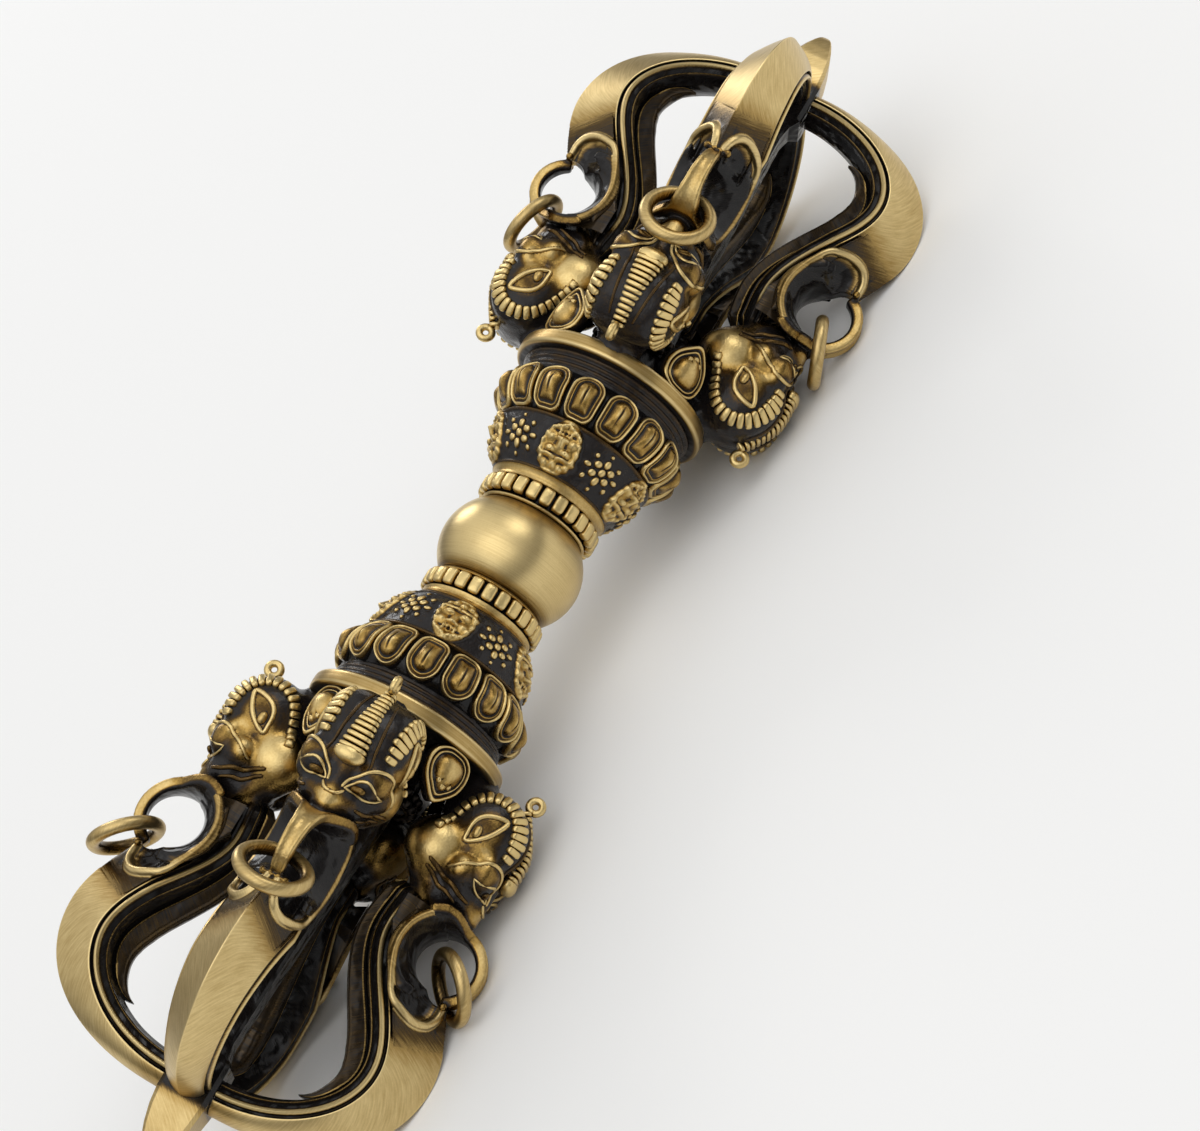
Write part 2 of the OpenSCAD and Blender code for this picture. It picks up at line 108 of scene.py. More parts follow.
def brushStrokes(tree, look):
    lengthMm, widthMm = look["strokeMm"]
    rotated = addNode(tree, "ShaderNodeMapping", {
        "Vector": addNode(tree, "ShaderNodeUVMap", uv_map="brush").outputs["UV"],
        "Rotation": (0, 0, math.radians(look["strokeTurn"]))})
    stretched = addNode(tree, "ShaderNodeMapping", {
        "Vector": rotated.outputs["Vector"], "Scale": (1 / lengthMm, 1 / widthMm, 1)})
    return addNode(tree, "ShaderNodeTexNoise", {
        "Vector": stretched.outputs["Vector"], "Scale": 1.0, "Detail": patina["strokeDetail"]},
        noise_dimensions="2D").outputs["Fac"]


def makeFinish(name, look):
    material = bpy.data.materials.new(name)
    material.use_nodes = True
    tree = material.node_tree
    tree.nodes.clear()
    spot = addNode(tree, "ShaderNodeTexCoord").outputs["Object"]
    blotch = addNode(tree, "ShaderNodeTexNoise", {
        "Vector": spot, "Scale": 1 / (look["blotchMm"] * mm), "Detail": patina["blotchDetail"],
        "Roughness": patina["blotchRoughness"]}).outputs["Fac"]
    height = addNode(tree, "ShaderNodeTexNoise", {
        "Vector": spot, "Scale": 1 / (look["grainMm"] * mm), "Detail": patina["grainDetail"]}).outputs["Fac"]
    patterns = [(blotch, look["blotch"]), (height, look["grain"])]
    if "stroke" in look:
        height = brushStrokes(tree, look)
        patterns.append((height, look["stroke"]))
    worn = addNode(tree, "ShaderNodeAttribute", attribute_name="relief").outputs["Fac"]
    for pattern, share in patterns:
        worn = addNode(tree, "ShaderNodeMath", {
            0: pattern, 1: share * 2, 2: worn}, operation="MULTIPLY_ADD").outputs[0]
    middle = sum(share for pattern, share in patterns)
    worn = addNode(tree, "ShaderNodeMath", {
        0: worn, 1: middle}, operation="SUBTRACT", use_clamp=True).outputs[0]
    ramp = addNode(tree, "ShaderNodeValToRGB", {"Fac": worn})
    stops = ramp.color_ramp.elements
    while len(stops) < len(look["ramp"]):
        stops.new(0.5)
    for stop, (position, colour) in zip(stops, look["ramp"]):
        stop.position = position
        stop.color = linear(colour)
    # The patina is an oxide, so the metal begins only where it has worn thin
    low, high = patina["metalSpan"]
    metal = addNode(tree, "ShaderNodeMapRange", {
        "Value": worn, "From Min": low, "From Max": high}).outputs["Result"]
    low, high = patina["roughSpan"]
    dark, bright = look["rough"]
    rough = addNode(tree, "ShaderNodeMapRange", {
        "Value": worn, "From Min": low, "From Max": high, "To Min": dark, "To Max": bright})
    # A thick patina is uneven, which breaks up what it mirrors
    uneven = addNode(tree, "ShaderNodeTexNoise", {
        "Vector": spot, "Scale": 1 / (patina["wavesMm"] * mm), "Detail": patina["waveDetail"]})
    thick = addNode(tree, "ShaderNodeMath", {0: 1.0, 1: metal}, operation="SUBTRACT")
    waves = addNode(tree, "ShaderNodeBump", {
        "Height": uneven.outputs["Fac"], "Strength": thick.outputs[0], "Distance": patina["depthMm"] * mm})
    bump = addNode(tree, "ShaderNodeBump", {
        "Height": height, "Strength": look["bump"], "Distance": look["grainMm"] * mm,
        "Normal": waves.outputs["Normal"]})
    shader = addNode(tree, "ShaderNodeBsdfPrincipled", {
        "Base Color": ramp.outputs["Color"], "Metallic": metal, "Roughness": rough.outputs["Result"],
        "Normal": bump.outputs["Normal"], "Specular IOR Level": patina["gloss"]})
    addNode(tree, "ShaderNodeOutputMaterial", {"Surface": shader.outputs["BSDF"]})
    return material


materials = {name: makeFinish(name, look) for name, look in finishes.items()}
print("finishes:", ", ".join(materials))


def smoothStep(low, high, value):
    share = np.clip((value - low) / (high - low), 0, 1)
    return share * share * (3 - 2 * share)


def mix(a, b, share):
    return a * (1 - share) + b * share


def unit(rows):
    return rows / (np.linalg.norm(rows, axis=-1, keepdims=True) + tiny)


def folded(points):
    # A prong is its own mirror image, so one half is enough to ask about
    return np.column_stack((points[:, 0], np.abs(points[:, 1]), points[:, 2]))


def lengthAlong(path):
    return np.concatenate(([0], np.cumsum(np.linalg.norm(np.diff(path, axis=0), axis=1))))


def gridFaces(rows, columns, joinRows=False, joinColumns=False):
    i, j = np.meshgrid(np.arange(rows - 1 + joinRows), np.arange(columns - 1 + joinColumns), indexing="ij")
    up, right = (i + 1) % rows, (j + 1) % columns
    quads = np.stack((i * columns + j, i * columns + right, up * columns + right, up * columns + j), axis=-1)
    return [tuple(quad) for quad in quads.reshape(-1, 4).tolist()]


def tubeFaces(rows, columns):
    ends = [tuple(reversed(range(columns))), tuple(range((rows - 1) * columns, rows * columns))]
    return gridFaces(rows, columns, joinColumns=True) + ends


def paintPoints(mesh, name, kind, values):
    key = "value" if kind == "FLOAT" else "vector"
    mesh.attributes.new(name, kind, "POINT").data.foreach_set(key, np.asarray(values, np.float32).ravel())


def meshFrom(name, points, faces, relief, brush=None):
    mesh = bpy.data.meshes.new(name)
    mesh.from_pydata(np.asarray(points, float).tolist(), [], [list(map(int, f)) for f in faces])
    paintPoints(mesh, "relief", "FLOAT", np.broadcast_to(relief, len(points)))
    layer = mesh.uv_layers.new(name="brush")
    if brush is not None:
        corner = np.zeros(len(mesh.loops), np.int32)
        mesh.loops.foreach_get("vertex_index", corner)
        layer.data.foreach_set("uv", np.asarray(brush, np.float32)[corner].ravel())
    mesh.shade_smooth()
    return mesh


def joinMeshes(name, meshes):
    holders = [bpy.data.objects.new(name, mesh) for mesh in meshes]
    for holder in holders:
        scene.collection.objects.link(holder)
    with bpy.context.temp_override(active_object=holders[0], selected_editable_objects=holders):
        bpy.ops.object.join()
    joined = holders[0].data
    bpy.data.objects.remove(holders[0])
    return joined


# Distances in mm below which points count as one
weld = {"turned": 1e-4, "band": 2e-4, "thin": 1e-5, "fine": 1e-6}


def faceOutwards(mesh, apart=weld["turned"]):
    shell = bmesh.new()
    shell.from_mesh(mesh)
    bmesh.ops.remove_doubles(shell, verts=shell.verts, dist=apart)
    bmesh.ops.recalc_face_normals(shell, faces=shell.faces)
    shell.to_mesh(mesh)
    shell.free()
    mesh.shade_smooth()
    return mesh


hollows = {"rays": 12, "startMm": 0.02, "shutSpan": (0.1, 0.75), "steepNormal": 0.8}


def shadeHollows(mesh, reachMm, strength):
    # Patina stays where rays that leave the surface soon meet metal again
    flat = [np.zeros(len(mesh.vertices) * 3) for key in ("co", "normal")]
    for key, values in zip(("co", "normal"), flat):
        mesh.vertices.foreach_get(key, values)
    points, normals = (values.reshape(-1, 3) for values in flat)
    tree = BVHTree.FromPolygons(points.tolist(), [list(p.vertices) for p in mesh.polygons])
    rays = hollows["rays"]
    spin = math.pi * (3 - math.sqrt(5)) * np.arange(rays)
    up = np.sqrt((np.arange(rays) + 0.5) / rays)
    out = np.sqrt(1 - up * up)
    fan = np.column_stack((out * np.cos(spin), out * np.sin(spin), up))
    helper = np.where(np.abs(normals[:, :1]) < hollows["steepNormal"], [[1.0, 0, 0]], [[0, 1.0, 0]])
    tangent = unit(np.cross(normals, helper))
    axes = np.stack((tangent, np.cross(normals, tangent), normals), axis=1)
    shut = np.zeros(len(points))
    for row, start in enumerate(points + normals * hollows["startMm"]):
        for direction in (fan @ axes[row]).tolist():
            distance = tree.ray_cast(Vector(start), direction, reachMm)[3]
            if distance is not None:
                shut[row] += (1 - distance / reachMm) / rays
    relief = mesh.attributes["relief"].data
    worn = np.zeros(len(points), np.float32)
    relief.foreach_get("value", worn)
    worn *= 1 - strength * smoothStep(*hollows["shutSpan"], shut)
    relief.foreach_set("value", worn)
    return mesh


def endMatrix(side, turn=0):
    flip = Matrix.Diagonal((sides[side] * mm, mm, mm, 1))
    return Matrix.Translation((0, 0, axisHeight)) @ flip @ Matrix.Rotation(math.radians(turn), 4, "X")


def prongMatrix(side, corner):
    return endMatrix(side, firstProngTurn + prongTurn * corner)


def place(mesh, name, finish, matrix, body, node):
    copy = mesh.copy()
    copy.name = name
    copy.transform(matrix)
    if matrix.determinant() < 0:
        copy.flip_normals()
    copy.materials.clear()
    copy.materials.append(materials[finish])
    piece = bpy.data.objects.new(name, copy)
    scene.collection.objects.link(piece)
    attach(piece, body)
    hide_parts(node)
    return piece


def newTree(name, **inputs):
    tree = bpy.data.node_groups.new(name, "GeometryNodeTree")
    for label, kind in inputs.items():
        tree.interface.new_socket(label, in_out="INPUT", socket_type=f"NodeSocket{kind}")
    tree.interface.new_socket("Finish", in_out="INPUT", socket_type="NodeSocketMaterial")
    tree.interface.new_socket("Made", in_out="OUTPUT", socket_type="NodeSocketGeometry")
    return tree, addNode(tree, "NodeGroupInput").outputs


def closeTree(tree, geometry, finish):
    real = addNode(tree, "GeometryNodeRealizeInstances", {"Geometry": geometry})
    painted = addNode(tree, "GeometryNodeSetMaterial", {"Geometry": real.outputs[0], "Material": finish})
    addNode(tree, "NodeGroupOutput", {"Made": painted.outputs[0]})
    return tree


def grow(tree, mesh, **values):
    holder = bpy.data.objects.new("holder", mesh)
    scene.collection.objects.link(holder)
    modifier = holder.modifiers.new("grow", "NODES")
    modifier.node_group = tree
    values["Finish"] = materials["rubbedCastBrass"]
    for item in tree.interface.items_tree:
        if item.in_out == "INPUT" and item.name in values:
            modifier[item.identifier] = values[item.name]
    graph = bpy.context.evaluated_depsgraph_get()
    made = bpy.data.meshes.new_from_object(holder.evaluated_get(graph))
    bpy.data.objects.remove(holder)
    made.shade_smooth()
    return made


# Turned pieces: radius at which strokes keep their length, steps round the axis, angle of a sharp edge
lathe = {"brushRadius": 8.0, "segments": 144, "fine": 192, "sharp": 50}


def makeTurnedTree():
    # Spins an outline, given as points (place along the axis, radius), round the axis
    tree, given = newTree("turnedOutline", Outline="Geometry", Segments="Int")
    outline = given["Outline"]
    count = addNode(tree, "GeometryNodeAttributeDomainSize", {"Geometry": outline}).outputs["Point Count"]
    grid = addNode(tree, "GeometryNodeMeshGrid", {
        "Size X": 1.0, "Size Y": 1.0, "Vertices X": count, "Vertices Y": given["Segments"]})
    position = addNode(tree, "GeometryNodeInputPosition").outputs[0]
    spot = addNode(tree, "ShaderNodeSeparateXYZ", {0: position}).outputs
    along = addNode(tree, "ShaderNodeMath", {0: spot["X"], 1: 0.5}, operation="ADD")
    last = addNode(tree, "ShaderNodeMath", {0: count, 1: 1.0}, operation="SUBTRACT")
    row = addNode(tree, "ShaderNodeMath", {0: along.outputs[0], 1: last.outputs[0]}, operation="MULTIPLY")
    index = addNode(tree, "ShaderNodeMath", {0: row.outputs[0]}, operation="ROUND").outputs[0]
    turn = addNode(tree, "ShaderNodeMath", {0: spot["Y"], 1: math.tau}, operation="MULTIPLY").outputs[0]
    found = addNode(tree, "GeometryNodeSampleIndex", {
        "Geometry": outline, "Value": position, "Index": index}, data_type="FLOAT_VECTOR")
    point = addNode(tree, "ShaderNodeSeparateXYZ", {0: found.outputs["Value"]}).outputs
    relief = addNode(tree, "GeometryNodeInputNamedAttribute", {"Name": "relief"}).outputs["Attribute"]
    worn = addNode(tree, "GeometryNodeSampleIndex", {
        "Geometry": outline, "Value": relief, "Index": index}).outputs["Value"]
    across = []
    for operation in ("COSINE", "SINE"):
        part = addNode(tree, "ShaderNodeMath", {0: turn}, operation=operation)
        out = addNode(tree, "ShaderNodeMath", {0: part.outputs[0], 1: point["Y"]}, operation="MULTIPLY")
        across.append(out.outputs[0])
    target = addNode(tree, "ShaderNodeCombineXYZ", {"X": point["X"], "Y": across[0], "Z": across[1]})
    arc = addNode(tree, "ShaderNodeMath", {0: turn, 1: lathe["brushRadius"]}, operation="MULTIPLY")
    wrap = addNode(tree, "ShaderNodeCombineXYZ", {"X": arc.outputs[0], "Y": point["X"]})
    brushed = addNode(tree, "GeometryNodeStoreNamedAttribute", {
        "Geometry": grid.outputs["Mesh"], "Name": "brush", "Value": wrap.outputs[0]},
        data_type="FLOAT2", domain="CORNER")
    rubbed = addNode(tree, "GeometryNodeStoreNamedAttribute", {
        "Geometry": brushed.outputs[0], "Name": "relief", "Value": worn}, data_type="FLOAT", domain="POINT")
    moved = addNode(tree, "GeometryNodeSetPosition", {
        "Geometry": rubbed.outputs[0], "Position": target.outputs[0]})
    return closeTree(tree, moved.outputs[0], given["Finish"])


def makeRoundTree():
    # Repeats one copy at even steps round the axis
    tree, given = newTree("roundTheAxis", Copy="Geometry", Count="Int", Start="Float")
    points = addNode(tree, "GeometryNodePoints", {"Count": given["Count"], "Position": (0, 0, 0)})
    step = addNode(tree, "ShaderNodeMath", {0: math.tau, 1: given["Count"]}, operation="DIVIDE")
    index = addNode(tree, "GeometryNodeInputIndex").outputs[0]
    turn = addNode(tree, "ShaderNodeMath", {
        0: index, 1: step.outputs[0], 2: given["Start"]}, operation="MULTIPLY_ADD")
    spin = addNode(tree, "ShaderNodeCombineXYZ", {"X": turn.outputs[0]})
    copies = addNode(tree, "GeometryNodeInstanceOnPoints", {
        "Points": points.outputs[0], "Instance": given["Copy"], "Rotation": spin.outputs[0]})
    return closeTree(tree, copies.outputs[0], given["Finish"])


def makeRowTree():
    # Sets a copy of one rib on every point, turned and sized by the points' attributes
    tree, given = newTree("ribsInARow", Points="Geometry", Rib="Object")
    rib = addNode(tree, "GeometryNodeObjectInfo", {"Object": given["Rib"]})
    aim = addNode(tree, "GeometryNodeInputNamedAttribute", {"Name": "aim"}, data_type="FLOAT_VECTOR")
    size = addNode(tree, "GeometryNodeInputNamedAttribute", {"Name": "size"}, data_type="FLOAT_VECTOR")
    copies = addNode(tree, "GeometryNodeInstanceOnPoints", {
        "Points": given["Points"], "Instance": rib.outputs["Geometry"],
        "Rotation": aim.outputs["Attribute"], "Scale": size.outputs["Attribute"]})
    return closeTree(tree, copies.outputs[0], given["Finish"])


turnedTree, roundTree, rowTree = makeTurnedTree(), makeRoundTree(), makeRowTree()


def turned(name, outline, segments=lathe["segments"]):
    # Rows of an outline: place along the axis, radius, relief
    rows = np.array(outline, float)
    mesh = bpy.data.meshes.new(name)
    mesh.from_pydata((rows * (1, 1, 0)).tolist(), [(i, i + 1) for i in range(len(rows) - 1)], [])
    paintPoints(mesh, "relief", "FLOAT", rows[:, 2])
    made = faceOutwards(grow(turnedTree, mesh, Segments=segments + 1))
    made.set_sharp_from_angle(angle=math.radians(lathe["sharp"]))
    return made


def roundTheAxis(mesh, count, startDegrees=0.0):
    return grow(roundTree, mesh, Count=count, Start=math.radians(startDegrees))


def ribsInARow(rib, points, frames, sizes):
    # frames holds a 3 x 3 matrix for each point, with the rib's own axes as columns
    mesh = bpy.data.meshes.new("row")
    mesh.from_pydata(np.asarray(points).tolist(), [], [])
    paintPoints(mesh, "aim", "FLOAT_VECTOR", [Matrix(f.tolist()).to_euler("XYZ")[:] for f in frames])
    paintPoints(mesh, "size", "FLOAT_VECTOR", sizes)
    model = bpy.data.objects.new("rib", rib)
    scene.collection.objects.link(model)
    made = grow(rowTree, mesh, Rib=model)
    bpy.data.objects.remove(model)
    return made


def roundedBlock(power=0.45, rings=8, around=16, relief=0.95):
    # A unit pillow: a superellipsoid that fits in a cube with sides of 2
    def bend(values):
        return np.sign(values) * np.abs(values) ** power

    lift = np.linspace(-math.pi / 2, math.pi / 2, rings + 1)[1:-1, None]
    turn = np.linspace(0, math.tau, around, endpoint=False)
    wide = bend(np.cos(lift))
    tall = bend(np.sin(lift)) + 0 * turn
    shell = np.stack((wide * bend(np.cos(turn)), wide * bend(np.sin(turn)), tall), axis=2)
    points = np.vstack(([(0, 0, -1)], shell.reshape(-1, 3), [(0, 0, 1)]))
    top = len(points) - 1
    last = top - around
    pairs = [(j, (j + 1) % around) for j in range(around)]
    faces = [(0, 1 + b, 1 + a) for a, b in pairs]
    faces += [tuple(1 + v for v in quad) for quad in gridFaces(rings - 1, around, joinColumns=True)]
    faces += [(last + a, last + b, top) for a, b in pairs]
    return meshFrom("block", points, faces, relief)


def blockAt(at, sizes, *shape, relief):
    block = roundedBlock(*shape, relief=relief)
    block.transform(Matrix.Translation(at) @ Matrix.Diagonal((*sizes, 1)))
    return block


# Wires: how far and how thin an end runs out, a direction that no path starts in, sides
wires = {"endReach": 0.8, "endThin": 0.35, "aside": (0.31, 0.52, 0.79), "around": 10}


def tube(path, radii, relief):
    # A round wire along a path, with rounded ends
    path = np.asarray(path, float)
    radii = np.broadcast_to(np.asarray(radii, float), len(path))
    ahead = unit(np.gradient(path, axis=0))
    side = np.cross(ahead[0], wires["aside"])
    spin = np.linspace(0, math.tau, wires["around"], endpoint=False)[:, None]
    start = path[:1] - ahead[:1] * radii[0] * wires["endReach"]
    end = path[-1:] + ahead[-1:] * radii[-1] * wires["endReach"]
    path = np.vstack((start, path, end))
    radii = np.concatenate(([radii[0] * wires["endThin"]], radii, [radii[-1] * wires["endThin"]]))
    ahead = np.vstack((ahead[:1], ahead, ahead[-1:]))
    rows = []
    for point, direction, radius in zip(path, ahead, radii):
        side = unit(side - direction * np.dot(side, direction))
        rows.append(point + radius * (np.cos(spin) * side + np.sin(spin) * np.cross(direction, side)))
    return meshFrom("wire", np.vstack(rows), tubeFaces(len(rows), wires["around"]), relief)


def throughPoints(points, steps=8, closed=False):
    # Catmull-Rom curve through a few points
    points = np.asarray(points, float)
    u = np.linspace(0, 1, steps, endpoint=False)[:, None]
    spans = []
    for i in range(len(points) - 1 + closed):
        a, b, c, d = np.take(points, range(i - 1, i + 3), axis=0, mode="wrap" if closed else "clip")
        spans.append(0.5 * (2 * b + (c - a) * u + (2 * a - 5 * b + 4 * c - d) * u ** 2
                            + (3 * b - a - 3 * c + d) * u ** 3))
    return np.vstack(spans if closed else spans + [points[-1:]])


# Grip ball
ball = {"radius": 8.2, "halfLength": 4.7, "reach": 7.03, "steps": 40, "worn": 0.92, "fade": 0.45,
        "fadeFrom": 3.4, "end": ((5.9, 0.3), (0, 0.2))}


def gripBall():
    half = ball["halfLength"]
    run = np.linspace(-half, half, ball["steps"])
    radius = ball["radius"] * np.sqrt(1 - (run / ball["reach"]) ** 2)
    worn = ball["worn"] - ball["fade"] * smoothStep(ball["fadeFrom"], half, np.abs(run))
    start = [(-half, *row) for row in reversed(ball["end"])]
    end = [(half, *row) for row in ball["end"]]
    return turned("grip", start + list(zip(run, radius, worn)) + end, lathe["fine"])


place(gripBall(), "grip_ball_brushed", "turnedAntiqueBrass", endMatrix("right"), "sceptre", "grip_ball")
print("grip ball done")

# Collar with a row of beads. Outline: place along the axis, radius, relief
collar = {
    "beads": 26, "beadAt": (6.3, 0, 6.45), "beadHalf": (1.0, 0.69, 0.7), "beadWorn": 0.9,
    "hollowReach": 1.0, "hollowShade": 0.9,
    "outline": (
        (4.70, 0, 0.2), (4.70, 5.9, 0.2), (4.78, 6.22, 0.75), (5.02, 6.36, 0.9), (5.24, 6.22, 0.7),
        (5.30, 5.95, 0.15), (5.36, 5.75, 0.05), (7.2, 5.75, 0.05), (7.26, 6.05, 0.12), (7.32, 6.45, 0.6),
        (7.46, 6.6, 0.85), (7.66, 6.52, 0.78), (7.9, 6.5, 0.72), (8.12, 6.58, 0.74), (8.32, 6.78, 0.8),
        (8.5, 6.98, 0.6), (8.5, 0, 0.2)),
}


def beadedCollar():
    bead = blockAt(collar["beadAt"], collar["beadHalf"], relief=collar["beadWorn"])
    pieces = [turned("collar", collar["outline"]), roundTheAxis(bead, collar["beads"])]
    return shadeHollows(joinMeshes("collar", pieces), collar["hollowReach"], collar["hollowShade"])


collarMesh = beadedCollar()
print("collars done")

# Blades: the lines repeat the solid's own, in mm. Stations are 0 root, 1 waist, 2 belly, 3 crown
blade = {
    "root": (36.6, 9.7), "waist": (41.5, 9.3), "belly": (56.2, 15.85), "crown": (65.4, 2.9),
    "stemHandle": 1.633, "beadHandle": 5.0, "crownPull": 0.53,
    "ridgeTop": (54.5, 21.4), "ridgeEnd": (67.4, 2.9), "hornHandle": (2.4, 1.2), "topBack": 2.6,
    "topAhead": 7.4, "ridgePull": 0.63, "ridgeBulge": 0.1, "ridgeBias": 0.48,
    "loop": (42.5, 16.2), "hornAngle": 58.0, "hornRadius": 5.4, "scrollFrom": 235.0, "holeAngle": 125,
    "scrollStart": 0.55, "ridgeStart": 1.62, "holeRadius": 3.15, "rimRadius": 4.75, "rimHalf": 4.3,
    # Half width at stations, half width of the ridge, and heights of the edge, the hood and the stem's top
    "halves": ((0, 2.4), (1, 2.4), (1.6, 3.9), (2, 3.5), (3, 2.0)), "ridgeHalf": (0.6, 0.05),
    "edgeRise": 0.8, "hoodRise": 0.4, "stemRise": 1.6, "wallSink": 0.35, "flarePower": 2.2, "crownRound": 0.7,
    "flutes": 1.5, "fluteDepth": 0.16, "stations": 260, "sharp": 38,
    # Stations between which each change takes place
    "stages": {
        "scrollIn": (0.45, 0.75), "scrollOut": (1.15, 1.35), "hoodIn": (1.1, 1.3), "hoodOut": (1.71, 1.8),
        "stemOut": (0.55, 0.9), "rise": (0.25, 0.75), "narrow": (1.2, 1.62), "crown": (2.2, 2.9),
        "hoodDim": (1.95, 1.65), "crownDim": (2.75, 3.0), "gold": (1.4, 1.6), "goldEdge": (1.6, 1.9),
        "goldBevel": (1.5, 1.75), "goldBead": (0.5, 0.9), "outward": (1.0, 1.6), "snug": (-0.05, 0.3)},
    # Relief of the facets, with what is added on their edges and taken off near the hood and the crown
    "face": 0.86, "plain": 0.3, "faceEdge": 0.12, "hoodDim": 0.62, "crownDim": 0.25, "bevel": 0.95,
    "stem": 0.28, "flute": 0.24, "scrollBack": 0.15, "bead": (0.25, 0.7), "snugRoot": 0.5,
    # Shares of the way from the ridge to the facet's edge
    "across": (0, 0.03, 0.12, 0.25, 0.4, 0.55, 0.7, 0.82, 0.92, 0.97, 1.0),
    # Behind the rim of the scroll, or a small bevel on the facet's edge: lift, side step, bevel, relief
    "lip": ((0.4, -0.1, 0.03, 0.3), (0.7, -0.15, 0.07, 0.3), (1.0, -0.3, 0.12, 0.34)), "bevelOut": 0.01,
    # Groove, bead and rail below the facet: lift, inset, shift outwards, relief, and relief scaled by the
    # bead's brightness.
    # The rows with relief 0.45 and 0.62 below the lower groove make a thin rib, painted light as a highlight
    # along its edge
    "rails": ((0.58, 0.46, 0.1, 0.03, 0), (0.34, 0.5, 0.28, 0.03, 0), (0.28, 0.26, 0.36, 0, 0.5),
              (0.16, 0.05, 0.36, 0, 1), (-0.02, -0.03, 0.36, 0, 1), (-0.2, 0.04, 0.36, 0, 1),
              (-0.34, 0.2, 0.36, 0, 0.45), (-0.46, 0.45, 0.36, 0.1, 0), (-0.9, 0.6, 0.3, 0.03, 0),
              (-0.98, 0.42, 0.3, 0.45, 0), (-1.08, 0.36, 0.3, 0.62, 0), (-1.18, 0.44, 0.3, 0.3, 0)),
    # Underside: depth, half width, relief; and its edge: depth, inset at least, goal, share, relief
    "under": ((1.42, 1.4, 0.05), (1.66, 1.05, 0.1), (1.74, 0.0, 0.1)),
    "underEdge": (1.28, 0.5, 1.5, 0.45, 0.08),
}


def bezier(p, u):
    p = [np.asarray(q, float) for q in p]
    w = 1 - u
    return p[0] * w ** 3 + 3 * p[1] * u * w ** 2 + 3 * p[2] * u ** 2 * w + p[3] * u ** 3


def bezierSlope(p, u):
    p = [np.asarray(q, float) for q in p]
    w = 1 - u
    return (p[1] - p[0]) * w ** 2 + 2 * (p[2] - p[1]) * u * w + (p[3] - p[2]) * u ** 2


def aroundLoop(degrees, radius):
    turn = math.radians(degrees)
    return np.array(blade["loop"]) + radius * np.array((math.sin(turn), math.cos(turn)))


def bladeLines():
    root, waist, belly, crown, ridgeTop, ridgeEnd = (
        np.array(blade[key]) for key in ("root", "waist", "belly", "crown", "ridgeTop", "ridgeEnd"))
    stem = np.array((blade["stemHandle"], 0))
    reach = np.array((blade["beadHandle"], 0))
    pull = np.array((0, (belly[1] - crown[1]) * blade["crownPull"]))
    horn = aroundLoop(blade["hornAngle"], blade["hornRadius"])
    lift = np.array((blade["ridgeBulge"], (ridgeTop[1] - crown[1]) * blade["ridgePull"]))
    beads = [[root, root + stem, waist - stem, waist], [waist, waist + reach, belly - reach, belly],
             [belly, belly + reach, crown + pull, crown]]
    ridges = [[horn, horn + blade["hornHandle"], ridgeTop - (blade["topBack"], 0), ridgeTop],
              [ridgeTop, ridgeTop + (blade["topAhead"], 0), ridgeEnd + lift, ridgeEnd]]
    return beads, ridges


beadCurves, ridgeCurves = bladeLines()


def beadAt(v):
    # The bead's place at a station, and the way outwards from it
    piece = min(2, int(v))
    slope = bezierSlope(beadCurves[piece], v - piece)
    return bezier(beadCurves[piece], v - piece), np.array((-slope[1], slope[0])) / np.linalg.norm(slope)


def belowBead(v, depth):
    b, n = beadAt(v)
    return b - depth * n


def ridgeAt(v):
    u = v - 2
    if u < 0:
        return bezier(ridgeCurves[0], (v - blade["ridgeStart"]) / (2 - blade["ridgeStart"]))
    return bezier(ridgeCurves[1], u + blade["ridgeBias"] * u * (1 - u))


def halfWidth(v):
    return np.interp(v, *zip(*blade["halves"]))


